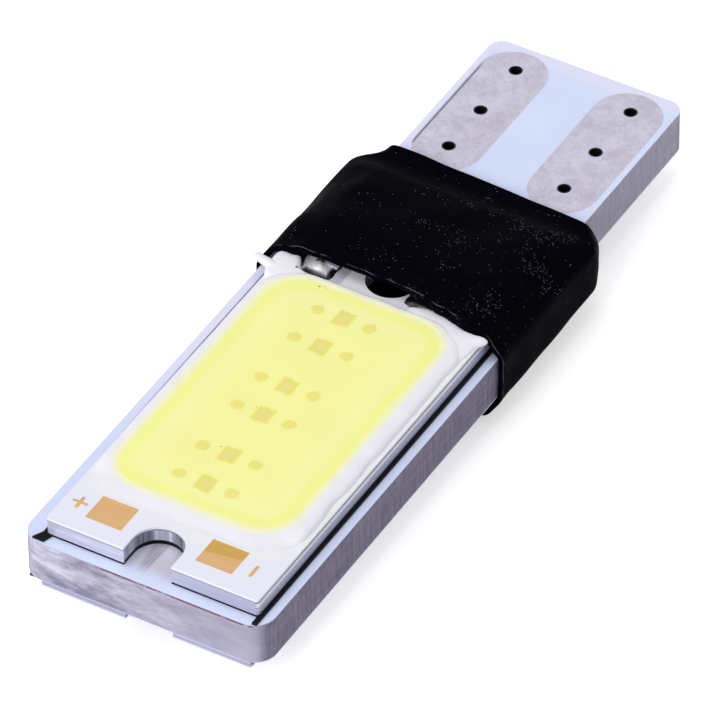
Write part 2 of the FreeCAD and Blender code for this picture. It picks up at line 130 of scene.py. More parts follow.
class Sheet:
    """A node tree being filled, with short ways to add and join its nodes."""

    def __init__(self, tree: bpy.types.NodeTree) -> None:
        """Keep the tree that the nodes go into."""
        self.tree = tree

    def add(self, kind: str, **settings: object) -> bpy.types.Node:
        """Add a node and set its options.

        Args:
            kind: The node's type name.
            **settings: Options by name.

        Returns:
            The new node.
        """
        node = self.tree.nodes.new(kind)
        for name, value in settings.items():
            setattr(node, name, value)
        return node

    def feed(self, socket: Socket, value: Value) -> None:
        """Join a socket to an input, or write a plain value into it.

        Args:
            socket: The input.
            value: The socket that feeds it, or the plain value.
        """
        if isinstance(value, Socket):
            self.tree.links.new(value, socket)
        else:
            socket.default_value = value

    def maths(self, kind: Sum, first: Value, *others: Value) -> Socket:
        """Work out a sum of one value, or take more values into it one after another.

        Args:
            kind: The arithmetic to do.
            first: The first value.
            *others: Further values, each joined to the result so far.

        Returns:
            The result's socket.
        """
        for other in others or (0.0,):
            node = self.add("ShaderNodeMath", operation=kind.value)
            self.feed(node.inputs[0], first)
            self.feed(node.inputs[1], other)
            first = node.outputs[0]
        return first

    def plus(self, *values: Value) -> Socket:
        """Add values up."""
        return self.maths(Sum.ADD, *values)

    def less(self, first: Value, second: Value) -> Socket:
        """Take the second value from the first."""
        return self.maths(Sum.TAKE, first, second)

    def times(self, *values: Value) -> Socket:
        """Multiply values together."""
        return self.maths(Sum.TIMES, *values)

    def most(self, *values: Value) -> Socket:
        """Pick the largest of some values."""
        return self.maths(Sum.MOST, *values)

    def least(self, *values: Value) -> Socket:
        """Pick the smallest of some values."""
        return self.maths(Sum.LEAST, *values)

    def gap(self, value: Value, middle: Value) -> Socket:
        """Measure how far a value is from a middle, without sign."""
        return self.maths(Sum.SIZE, self.less(value, middle))

    def length(self, first: Value, second: Value) -> Socket:
        """Give the root of two values' squares added up."""
        return self.maths(Sum.ROOT, self.plus(self.times(first, first),
                                              self.times(second, second)))

    def fade(self, value: Value, span: Span, ends: Span = (0.0, 1.0)) -> Socket:
        """Pass softly from one value to another as an input crosses a span.

        Args:
            value: The input that drives the fade.
            span: Input where the fade starts, and where it ends.
            ends: Result before the span, and beyond it.

        Returns:
            The faded value's socket.
        """
        node = self.add("ShaderNodeMapRange", interpolation_type="SMOOTHSTEP")
        for socket, part in zip(node.inputs, (value, *span, *ends)):
            self.feed(socket, part)
        return node.outputs[0]

    def fall(self, value: Value, span: Span, top: float = 1.0) -> Socket:
        """Fall softly from a top to nothing as an input crosses a span."""
        return self.fade(value, span, (top, 0.0))

    def band(self, value: Value, middle: float, half: float, soft: float) -> Socket:
        """Mask a band of values, one inside and nothing outside.

        Args:
            value: The input that is tested.
            middle: Middle of the band.
            half: Half its width.
            soft: Width of its soft edges.

        Returns:
            The mask's socket.
        """
        return self.fall(self.gap(value, middle), (half, half + soft))

    def mix(self, share: Value, first: Value, second: Value) -> Socket:
        """Mix two colours.

        Args:
            share: How much of the second colour is taken.
            first: First colour or socket.
            second: Second colour or socket.

        Returns:
            The mixed colour's socket.
        """
        node = self.add("ShaderNodeMix", data_type="RGBA")
        for index, value in ((0, share), (6, first), (7, second)):
            self.feed(node.inputs[index], value)
        return node.outputs[2]

    def noise(self, vector: Value, scale: Value, detail: float, rough: float) -> Socket:
        """Add cloudy noise.

        Args:
            vector: Place in millimetres.
            scale: Clouds to a millimetre.
            detail: Octaves of finer noise.
            rough: Share that each octave keeps of the last.

        Returns:
            Its value's socket, from 0 to 1.
        """
        node = self.add("ShaderNodeTexNoise")
        for label, value in (("Vector", vector), ("Scale", scale), ("Detail", detail),
                             ("Roughness", rough)):
            self.feed(node.inputs[label], value)
        return node.outputs[0]

    def stretched(self, vector: Value, shares: Triple) -> Socket:
        """Stretch a pattern's coordinates.

        Args:
            vector: The coordinates.
            shares: Share by which each axis is multiplied.

        Returns:
            The stretched coordinates' socket.
        """
        node = self.add("ShaderNodeVectorMath", operation="MULTIPLY")
        self.feed(node.inputs[0], vector)
        self.feed(node.inputs[1], shares)
        return node.outputs[0]

    def turned(self, vector: Value, angles: Triple, shares: Triple) -> Socket:
        """Stretch a pattern's coordinates, then turn them.

        Args:
            vector: The coordinates.
            angles: Turn about each axis in radians.
            shares: Share by which each axis is multiplied.

        Returns:
            The turned coordinates' socket.
        """
        node = self.add("ShaderNodeMapping")
        for label, value in (("Rotation", angles), ("Scale", shares), ("Vector", vector)):
            self.feed(node.inputs[label], value)
        return node.outputs[0]

    def split(self, vector: Value) -> list[Socket]:
        """Split a vector.

        Args:
            vector: The vector.

        Returns:
            The sockets of its three parts.
        """
        node = self.add("ShaderNodeSeparateXYZ")
        self.feed(node.inputs[0], vector)
        return list(node.outputs)

    def bump(self, height: Value, depth: float, strength: float) -> Socket:
        """Raise a height into a normal.

        Args:
            height: The height's socket, from 0 to 1.
            depth: Depth in millimetres that a height of one stands for.
            strength: Share of the bump that is kept.

        Returns:
            The normal's socket.
        """
        node = self.add("ShaderNodeBump")
        for label, value in (("Strength", strength), ("Distance", depth * MM),
                             ("Height", height)):
            self.feed(node.inputs[label], value)
        return node.outputs[0]


class Effect(ABC):
    """A look that several finishes share, kept as one node group."""

    name: str
    takes: tuple[tuple[str, str, float], ...]
    gives: tuple[tuple[str, str], ...]

    @abstractmethod
    def fill(self, sheet: Sheet, start: bpy.types.Node, end: bpy.types.Node) -> None:
        """Fill the group.

        Args:
            sheet: The group's sheet.
            start: The node that gives its inputs.
            end: The node that takes its outputs.
        """

    def group(self) -> bpy.types.NodeTree:
        """Build the group once, and find it each later time.

        Returns:
            The group.
        """
        known = bpy.data.node_groups.get(self.name)
        if known:
            return known
        tree = bpy.data.node_groups.new(self.name, "ShaderNodeTree")
        for label, kind, value in self.takes:
            socket = tree.interface.new_socket(label, in_out="INPUT", socket_type=kind)
            if kind == "NodeSocketFloat":
                socket.default_value = value
        for label, kind in self.gives:
            tree.interface.new_socket(label, in_out="OUTPUT", socket_type=kind)
        sheet = Sheet(tree)
        self.fill(sheet, sheet.add("NodeGroupInput"), sheet.add("NodeGroupOutput"))
        return tree

    def use(self, sheet: Sheet, **values: Value) -> bpy.types.Node:
        """Place the group in a material with that material's own values.

        Args:
            sheet: The material's sheet.
            **values: Input values or sockets by name.

        Returns:
            The group's node.
        """
        node = sheet.add("ShaderNodeGroup", node_tree=self.group())
        for label, value in values.items():
            sheet.feed(node.inputs[label], value)
        return node


class FacePlace(Effect):
    """Gives a point's place on whichever face it lies, in millimetres."""

    name = "place on the face"
    takes = (("Vector", "NodeSocketVector", 0.0),)
    gives = (("Place", "NodeSocketVector"), ("Across", "NodeSocketFloat"),
             ("Along", "NodeSocketFloat"), ("Height", "NodeSocketFloat"),
             ("Raw", "NodeSocketVector"))

    def fill(self, sheet: Sheet, start: bpy.types.Node, end: bpy.types.Node) -> None:
        """Scale to millimetres, measure from the middle plane and turn the lower face over.

        Args:
            sheet: The group's sheet.
            start: The node that gives its inputs.
            end: The node that takes its outputs.
        """
        raw = sheet.stretched(start.outputs["Vector"], (1 / MM, 1 / MM, 1 / MM))
        across, along, up = sheet.split(raw)
        level = sheet.less(up, MIDDLE)
        turned = sheet.times(across, sheet.maths(Sum.SIGN, level))
        height = sheet.maths(Sum.SIZE, level)
        place = sheet.add("ShaderNodeCombineXYZ")
        for socket, part in zip(place.inputs, (turned, along, height)):
            sheet.feed(socket, part)
        for (label, _), part in zip(self.gives, (place.outputs[0], turned, along, height, raw)):
            sheet.feed(end.inputs[label], part)


@dataclass(frozen=True)
class PoolOutline:
    """The rounded rectangle that the phosphor pool fills."""

    half_width: float = 4.25
    near: float = -15.0
    far: float = -0.22
    corner: float = 1.7

    @property
    def middle(self) -> float:
        """The outline's middle along the bulb."""
        return (self.far + self.near) / 2


POOL = PoolOutline()


class PoolDistance(Effect):
    """Measures how far a place is outside the pool's outline, less than nothing inside."""

    name = "distance from the pool"
    takes = (("Place", "NodeSocketVector", 0.0),)
    gives = (("Distance", "NodeSocketFloat"),)

    def fill(self, sheet: Sheet, start: bpy.types.Node, end: bpy.types.Node) -> None:
        """Take the distance to a rectangle smaller by the corner radius, less that radius.

        Args:
            sheet: The group's sheet.
            start: The node that gives its inputs.
            end: The node that takes its outputs.
        """
        across, along, _ = sheet.split(start.outputs["Place"])
        half_length = (POOL.far - POOL.near) / 2
        over_x = sheet.less(sheet.maths(Sum.SIZE, across), POOL.half_width - POOL.corner)
        over_y = sheet.less(sheet.gap(along, POOL.middle), half_length - POOL.corner)
        outside = sheet.length(sheet.most(over_x, 0.0), sheet.most(over_y, 0.0))
        inside = sheet.least(sheet.most(over_x, over_y), 0.0)
        sheet.feed(end.inputs["Distance"], sheet.less(sheet.plus(outside, inside), POOL.corner))


class Mottle(Effect):
    """Cloudy patches of two sizes, sharpened by a contrast."""

    name = "mottle"
    takes = (("Vector", "NodeSocketVector", 0.0), ("Scale", "NodeSocketFloat", 1.0),
             ("Contrast", "NodeSocketFloat", 1.0))
    gives = (("Value", "NodeSocketFloat"),)
    finer = 3.7
    broad_share = 0.65
    fine_share = 0.35
    rough = 0.6

    def fill(self, sheet: Sheet, start: bpy.types.Node, end: bpy.types.Node) -> None:
        """Average broad and fine noise, then pull the result away from its middle.

        Args:
            sheet: The group's sheet.
            start: The node that gives its inputs.
            end: The node that takes its outputs.
        """
        vector, scale, contrast = (start.outputs[label] for label, _, _ in self.takes)
        broad = sheet.noise(vector, scale, detail=4.0, rough=self.rough)
        fine = sheet.noise(vector, sheet.times(scale, self.finer), detail=3.0,
                           rough=self.rough)
        both = sheet.plus(sheet.times(broad, self.broad_share),
                          sheet.times(fine, self.fine_share))
        shifted = sheet.plus(sheet.times(sheet.less(both, 0.5), contrast), 0.5)
        sheet.feed(end.inputs["Value"], sheet.least(sheet.most(shifted, 0.0), 1.0))


class Specks(Effect):
    """Scattered round specks of uneven size, such as dust."""

    name = "specks"
    takes = (("Vector", "NodeSocketVector", 0.0), ("Scale", "NodeSocketFloat", 1.0),
             ("Share", "NodeSocketFloat", 0.2), ("Radius", "NodeSocketFloat", 0.2))
    gives = (("Mask", "NodeSocketFloat"),)
    smallest = 0.2
    rim = (0.5, 1.0)

    def fill(self, sheet: Sheet, start: bpy.types.Node, end: bpy.types.Node) -> None:
        """Keep a share of the cells, each with a disc whose size its own draw sets.

        Args:
            sheet: The group's sheet.
            start: The node that gives its inputs.
            end: The node that takes its outputs.
        """
        cells = sheet.add("ShaderNodeTexVoronoi")
        for label in ("Vector", "Scale"):
            sheet.feed(cells.inputs[label], start.outputs[label])
        draw, other, _ = sheet.split(cells.outputs["Color"])
        kept = sheet.maths(Sum.OVER_LIMIT, start.outputs["Share"], draw)
        size = sheet.plus(sheet.times(other, 1 - self.smallest), self.smallest)
        limit = sheet.times(start.outputs["Radius"], size)
        disc = sheet.fall(sheet.maths(Sum.OVER, cells.outputs["Distance"], limit), self.rim)
        sheet.feed(end.inputs["Mask"], sheet.times(disc, kept))


class Coat(Sheet):
    """A material's sheet: its one shader, the place on the face and the shared effects."""

    def __init__(self, tree: bpy.types.NodeTree) -> None:
        """Add the shader and the place.

        Args:
            tree: The material's empty node tree.
        """
        super().__init__(tree)
        output = self.add("ShaderNodeOutputMaterial")
        self.shader = self.add("ShaderNodeBsdfPrincipled")
        self.feed(output.inputs["Surface"], self.shader.outputs[0])
        coordinates = self.add("ShaderNodeTexCoord")
        place = FacePlace().use(self, Vector=coordinates.outputs["Object"])
        self.place, self.across, self.along, self.height, self.raw = place.outputs

    def mottle(self, vector: Value, scale: float, contrast: float) -> Socket:
        """Place the cloudy patches."""
        return Mottle().use(self, Vector=vector, Scale=scale, Contrast=contrast).outputs[0]

    def specks(self, vector: Value, scale: float, share: Value, radius: float) -> Socket:
        """Place the scattered specks."""
        node = Specks().use(self, Vector=vector, Scale=scale, Share=share, Radius=radius)
        return node.outputs[0]

    def from_pool(self) -> Socket:
        """Place the distance from the pool's outline."""
        return PoolDistance().use(self, Place=self.place).outputs[0]

    def lay(self, colour: Value, rough: Value, relief: Value, bump: Span,
            metal: Value = 0.0, shine: float = 0.5) -> None:
        """Give the shader its colour, gloss and relief.

        Args:
            colour: Colour over the surface.
            rough: Roughness.
            relief: Height of the relief, from 0 to 1.
            bump: Millimetres that a height of one stands for, and share that is kept.
            metal: How metallic it is.
            shine: Specular level of its gloss.
        """
        for label, value in (("Base Color", colour), ("Roughness", rough), ("Metallic", metal),
                             ("Specular IOR Level", shine), ("Normal", self.bump(relief, *bump))):
            self.feed(self.shader.inputs[label], value)


@dataclass(frozen=True)
class Finish(ABC):
    """One finish of the bulb, by the name of its material slot."""

    slot: str

    @abstractmethod
    def paint(self, coat: Coat) -> None:
        """Set the shader's colour, roughness and bump.

        Args:
            coat: The material's sheet.
        """

    def material(self) -> bpy.types.Material:
        """Make the finish's material around one shader.

        Returns:
            The material.
        """
        material = bpy.data.materials.new("finish_" + self.slot)
        material.use_nodes = True
        material.node_tree.nodes.clear()
        self.paint(Coat(material.node_tree))
        return material


@dataclass(frozen=True)
class FibreglassEdge(Finish):
    """Sawn laminate: cloudy grey lavender, layered, with a torn copper line at the nose."""

    slot: str = "fibreglass"
    pale: Colour = shade(216, 213, 234)
    dark: Colour = shade(124, 118, 144)
    right_shade: Colour = shade(166, 161, 184)
    side_pale: Colour = shade(146, 141, 164)
    side_dark: Colour = shade(92, 82, 108)
    base_pale: Colour = shade(184, 180, 200)
    copper: Colour = shade(112, 40, 54)
    width: Span = (-5.9, 5.9)
    right_shade_shares: Span = (0.05, 0.85)
    side_start: Span = (5.4, 5.85)
    base_start: Span = (9.3, 9.6)
    front_turn: Triple = (0.0, -0.06, 0.0)
    front_stretch: Triple = (0.4, 0.3, 1.3)
    saw_turn: Triple = (0.65, 0.0, 0.0)
    saw_stretch: Triple = (1.0, 5.5, 0.5)
    layer_stretch: Triple = (1.0, 0.2, 4.0)
    fibre_stretch: Triple = (1.0, 1.0, 3.0)
    hatch_share: float = 0.55
    copper_band: Triple = (MIDDLE + 0.975, 0.045, 0.02)
    nose_end: Span = (-18.9, -18.8)
    torn: Span = (0.36, 0.5)
    copper_start: Span = (-2.6, -1.6)

    def side_grain(self, coat: Coat) -> Socket:
        """Hatch the long sides with slanting saw lines over coarser clouds.

        Args:
            coat: The material's sheet.

        Returns:
            The grain's socket, from 0 to 1.
        """
        sawn = coat.turned(coat.raw, self.saw_turn, self.saw_stretch)
        hatch = coat.mottle(sawn, scale=1.0, contrast=4.0)
        layers = coat.stretched(coat.raw, self.layer_stretch)
        cloud = coat.mottle(layers, scale=1.3, contrast=3.0)
        return coat.plus(coat.times(hatch, self.hatch_share),
                         coat.times(cloud, 1 - self.hatch_share))

    def copper_line(self, coat: Coat) -> Socket:
        """Mask the torn copper that shows along the upper front edge.

        Args:
            coat: The material's sheet.

        Returns:
            The mask's socket.
        """
        up = coat.split(coat.raw)[2]
        breaks = coat.fade(coat.noise(coat.raw, scale=1.3, detail=4.0, rough=0.7), self.torn)
        return coat.times(coat.band(up, *self.copper_band), coat.fall(coat.along, self.nose_end),
                          breaks, coat.fade(coat.across, self.copper_start))

    def paint(self, coat: Coat) -> None:
        """Cloud the front aslant, paint shade on it rightwards, hatch the sides, draw the copper.

        Args:
            coat: The material's sheet.
        """
        raw_across = coat.split(coat.raw)[0]
        aslant = coat.turned(coat.raw, self.front_turn, self.front_stretch)
        front = coat.mix(coat.mottle(aslant, scale=1.0, contrast=4.2), self.dark, self.pale)
        # Painted shade: the front face darkens towards the right.
        rightward = coat.fade(raw_across, self.width, self.right_shade_shares)
        right_shaded = coat.mix(rightward, front, self.right_shade)
        side = coat.fade(coat.maths(Sum.SIZE, raw_across), self.side_start)
        grain = self.side_grain(coat)
        wall = coat.mix(grain, self.side_dark, self.side_pale)
        base_wall = coat.mix(grain, self.side_pale, self.base_pale)
        sided = coat.mix(coat.fade(coat.along, self.base_start),
                         coat.mix(side, right_shaded, wall), base_wall)
        colour = coat.mix(self.copper_line(coat), sided, self.copper)
        fibres = coat.noise(coat.stretched(coat.raw, self.fibre_stretch),
                            scale=5.0, detail=5.0, rough=0.7)
        coat.lay(colour, rough=0.62, relief=fibres, bump=(0.05, 0.8))


@dataclass(frozen=True)
class MaskEnamel(Finish):
    """White solder mask: glossy, cool, with a fine orange peel."""

    slot: str = "white_mask"
    plain: Colour = shade(219, 229, 254)
    deeper: Colour = shade(210, 219, 250)
    edge: Colour = shade(170, 172, 205)
    pocket: Colour = shade(200, 196, 214)
    reflected_wall_tone: Colour = shade(128, 126, 146)
    far_strip: Colour = shade(228, 227, 250)
    left_dark_band: Colour = shade(60, 54, 90)
    edge_heights: Span = (1.03, 1.048)
    pocket_side: Span = (0.9, 1.3)
    pocket_near: Span = (-18.7, -17.7)
    pocket_far: Span = (-12.0, -11.0)
    streak_stretch: Triple = (1.3, 0.1, 0.1)
    streak_values: Span = (0.0, 0.6)
    left_strip: Span = (-4.6, -4.4)
    strip_run: Span = (-14.0, -3.0)
    end_strip: Span = (18.0, 18.5)
    left_band_side: Span = (-5.55, -5.5)
    left_band_end: Span = (8.0, 9.0)
    cover: float = 0.8

    def paint(self, coat: Coat) -> None:
        """Cloud the mask, grey its cut edge, paint the notch wall's reflection on the notch floor
        and darken a band of the left strip.

        Args:
            coat: The material's sheet.
        """
        along = coat.along
        clouded = coat.mix(coat.mottle(coat.raw, scale=0.25, contrast=2.0),
                           self.deeper, self.plain)
        rimmed = coat.mix(coat.fall(coat.height, self.edge_heights), clouded, self.edge)
        side = coat.maths(Sum.SIZE, coat.across)
        in_pocket = coat.times(coat.fall(side, self.pocket_side),
                               coat.fade(along, self.pocket_near),
                               coat.fall(along, self.pocket_far))
        # Painted reflection: streaks of the notch wall mirrored in the notch floor.
        streak = coat.mottle(coat.stretched(coat.raw, self.streak_stretch),
                             scale=1.0, contrast=3.5)
        painted_wall_reflection = coat.mix(coat.fall(streak, self.streak_values, top=0.6),
                            self.pocket, self.reflected_wall_tone)
        farther = coat.times(coat.fall(coat.across, self.left_strip),
                             coat.fade(along, self.strip_run))
        ending = coat.fade(along, self.end_strip, (0.0, self.cover))
        paled = coat.mix(coat.most(farther, ending),
                         coat.mix(in_pocket, rimmed, painted_wall_reflection), self.far_strip)
        # A darker band on the left strip, beside the plate's left edge.
        left_dark_band = coat.times(farther, coat.fade(coat.across, self.left_band_side),
                           coat.fall(along, self.left_band_end, self.cover))
        peel = coat.noise(coat.raw, scale=2.6, detail=2.0, rough=0.5)
        coat.lay(coat.mix(left_dark_band, paled, self.left_dark_band), rough=0.2, relief=peel,
                 bump=(0.012, 0.7), shine=0.4)


@dataclass(frozen=True)
class TinnedPad(Finish):
    """Tinned copper of the base: matt, cloudy, with dark barrels and a scraped left edge."""

    slot: str = "tinned_copper"
    pale: Colour = shade(219, 214, 234)
    dark: Colour = shade(199, 194, 214)
    vein: Colour = shade(160, 155, 174)
    tarnish: Colour = shade(16, 14, 20)
    scrape: Colour = shade(128, 122, 142)
    barrel_top: Span = (0.92, 1.02)
    hole_across: float = 2.87
    hole_rows: Triple = (17.38, 14.28, 11.5)
    hole_rim: Span = (0.29, 0.34)
    vein_band: Triple = (0.47, 0.008, 0.02)
    scrape_band: Triple = (-4.38, 0.03, 0.04)
    scrape_end: Span = (16.6, 17.4)
    vein_cover: float = 0.28
    scrape_cover: float = 0.95

    def holes(self, coat: Coat) -> Socket:
        """Mask the plated holes: a disc round each, and the barrels below the pad.

        Args:
            coat: The material's sheet.

        Returns:
            The mask's socket.
        """
        beside = coat.less(coat.maths(Sum.SIZE, coat.across), self.hole_across)
        nearest = coat.least(*(coat.gap(coat.along, row) for row in self.hole_rows))
        return coat.most(coat.fall(coat.height, self.barrel_top),
                         coat.fall(coat.length(beside, nearest), self.hole_rim))

    def paint(self, coat: Coat) -> None:
        """Lay clouds, veins and a scraped line over the tin and blacken the holes.

        Args:
            coat: The material's sheet.
        """
        cloud = coat.mottle(coat.raw, scale=0.9, contrast=3.2)
        colour = coat.mix(cloud, self.dark, self.pale)
        swirl = coat.noise(coat.raw, scale=1.7, detail=5.0, rough=0.65)
        vein = coat.band(swirl, *self.vein_band)
        veined = coat.mix(coat.times(vein, self.vein_cover), colour, self.vein)
        line = coat.times(coat.band(coat.across, *self.scrape_band),
                          coat.fall(coat.along, self.scrape_end), self.scrape_cover)
        lined = coat.mix(line, veined, self.scrape)
        rough = coat.fade(cloud, CLOUDS, (0.38, 0.55))
        coat.lay(coat.mix(self.holes(coat), lined, self.tarnish), rough=rough, relief=cloud,
                 bump=(0.02, 0.6), metal=0.25)


@dataclass(frozen=True)
class WhiteCoat(Finish):
    """Satin white coat of the light plate, warmed a little by the phosphor beside it."""

    slot: str = "white_coat"
    plain: Colour = shade(232, 232, 247)
    warm: Colour = shade(243, 243, 226)
    rim: Colour = shade(168, 170, 194)
    under: Colour = shade(186, 184, 208)
    under_lip_shade: Colour = shade(20, 16, 22)
    glow_reach: Span = (0.9, 2.2)
    rim_heights: Span = (1.86, 1.88)
    under_levels: Span = (MIDDLE - 0.5, MIDDLE)
    under_heights: Span = (1.955, 1.975)
    under_lip_right: Span = (1.3, 1.6)
    under_lip_left: Triple = (-3.85, 0.3, 0.08)
    under_lip_start: Span = (0.45, 0.6)

    def paint(self, coat: Coat) -> None:
        """Warm the coat near the pool, line its edge and paint shade on it under the sleeve's lip
        beside the far joints.

        Args:
            coat: The material's sheet.
        """
        cloud = coat.mottle(coat.raw, scale=0.35, contrast=2.5)
        glow = coat.times(coat.fall(coat.from_pool(), self.glow_reach, top=0.55), cloud)
        colour = coat.mix(glow, self.plain, self.warm)
        lined = coat.mix(coat.fall(coat.height, self.rim_heights), colour, self.rim)
        below = coat.times(coat.fall(coat.split(coat.raw)[2], self.under_levels),
                           coat.fall(coat.height, self.under_heights))
        # Painted shade: the coat goes nearly black under the sleeve's lip, beside the far joints.
        beside = coat.most(coat.fade(coat.across, self.under_lip_right),
                           coat.band(coat.across, *self.under_lip_left))
        under_lip_shade = coat.times(beside, coat.fade(coat.along, self.under_lip_start))
        lip_shaded = coat.mix(under_lip_shade, coat.mix(below, lined, self.under), self.under_lip_shade)
        peel = coat.noise(coat.raw, scale=3.0, detail=2.0, rough=0.5)
        coat.lay(lip_shaded, rough=0.38, relief=peel, bump=(0.006, 0.6))


@dataclass(frozen=True)
class PlateAluminium(Finish):
    """Milled aluminium of the light plate, satin outside and bright inside its notches."""

    slot: str = "aluminium_plate"
    pale: Colour = shade(222, 222, 242)
    dull: Colour = shade(170, 170, 194)
    groove: Colour = shade(158, 160, 184)
    bright: Colour = shade(236, 236, 246)
    gloom: Colour = shade(84, 84, 100)
    foot: Colour = shade(16, 16, 24)
    shaded: Colour = shade(196, 200, 236)
    lit: Colour = shade(252, 252, 255)
    notch_side: Span = (1.2, 1.25)
    notch_near: Span = (-18.33, -18.27)
    notch_far: Span = (-10.0, -9.0)
    wall_stretch: Triple = (0.2, 0.2, 5.0)
    streak_stretch: Triple = (1.0, 0.6, 0.02)
    foot_heights: Span = (1.24, 1.27)
    right_edge: Span = (5.1, 5.25)
    shaded_heights: Span = (1.42, 1.48)
    front_edge: Span = (-18.36, -18.3)
    front_width: Span = (-3.0, 4.5)
    score_band: Triple = (1.5, 0.012, 0.02)
    groove_heights: Span = (1.775, 1.8)
    lit_cover: float = 0.7

    def notch(self, coat: Coat) -> Socket:
        """Mask the wall of the near notch.

        Args:
            coat: The material's sheet.

        Returns:
            The mask's socket.
        """
        beside = coat.fall(coat.maths(Sum.SIZE, coat.across), self.notch_side)
        return coat.times(beside, coat.fade(coat.along, self.notch_near),
                          coat.fall(coat.along, self.notch_far))

    def side_tones(self, coat: Coat, colour: Socket) -> Socket:
        """Light the right side with a shaded foot and a scored line, and dim the front.

        Args:
            coat: The material's sheet.
            colour: Colour before.

        Returns:
            The colour's socket after.
        """
        right = coat.fade(coat.across, self.right_edge)
        lifted = coat.mix(coat.times(right, self.lit_cover), colour, self.lit)
        low = coat.fall(coat.height, self.shaded_heights, top=0.85)
        shaded = coat.mix(coat.times(right, low), lifted, self.shaded)
        front = coat.times(coat.fall(coat.along, self.front_edge),
                           coat.fade(coat.across, self.front_width, ends=(0.0, 0.8)))
        scored = coat.band(coat.height, *self.score_band)
        ruled = coat.mix(coat.times(right, scored), coat.mix(front, shaded, self.dull),
                         self.gloom)
        groove = coat.mix(right, self.groove, self.gloom)
        return coat.mix(coat.fade(coat.height, self.groove_heights), ruled, groove)

    def paint(self, coat: Coat) -> None:
        """Cloud the outer wall, line its top edge and streak the notch wall upright.

        Args:
            coat: The material's sheet.
        """
        marks = coat.mottle(coat.stretched(coat.raw, self.wall_stretch),
                            scale=1.2, contrast=3.0)
        streak = coat.mottle(coat.stretched(coat.raw, self.streak_stretch),
                             scale=1.1, contrast=4.5)
        notch = self.notch(coat)
        inner = coat.mix(coat.fall(coat.height, self.foot_heights),
                         coat.mix(streak, self.gloom, self.bright), self.foot)
        colour = coat.mix(notch, coat.mix(marks, self.dull, self.pale), inner)
        coat.lay(self.side_tones(coat, colour), rough=coat.fade(marks, CLOUDS, (0.3, 0.42)),
                 relief=marks, bump=(0.015, 0.5),
                 metal=coat.fade(notch, (0.0, 1.0), (0.25, 0.8)))


@dataclass(frozen=True)
class BareCopper(Finish):
    """Copper pads and marks under thin lacquer, one pad with a painted golden reflection over its
    far part.
    """

    slot: str = "bare_copper"
    plain: Colour = shade(227, 176, 113)
    pale: Colour = shade(234, 192, 140)
    pad_reflection_tone: Colour = shade(216, 172, 86)
    wetted: Colour = shade(226, 225, 238)
    brush_stretch: Triple = (0.4, 3.0, 1.0)
    reflection_lean: float = 0.16
    reflection_start: Span = (-17.14, -17.08)
    reflection_side: Span = (1.2, 1.3)
    far_pads: Span = (-1.0, -0.5)

    def paint(self, coat: Coat) -> None:
        """Brush the copper, paint a golden reflection with a slanted edge on the right pad's far
        part and wet the far pads.

        Args:
            coat: The material's sheet.
        """
        grain = coat.mottle(coat.stretched(coat.raw, self.brush_stretch),
                            scale=1.6, contrast=2.0)
        # Painted reflection: a darker golden band over the right pad's far part.
        slope = coat.less(coat.along, coat.times(coat.across, self.reflection_lean))
        reflection_part = coat.times(coat.fade(slope, self.reflection_start),
                              coat.fade(coat.across, self.reflection_side))
        with_pad_reflection = coat.mix(reflection_part, coat.mix(grain, self.plain, self.pale), self.pad_reflection_tone)
        colour = coat.mix(coat.fade(coat.along, self.far_pads), with_pad_reflection, self.wetted)
        coat.lay(colour, rough=0.42, relief=grain, bump=(0.006, 0.5), metal=0.35)


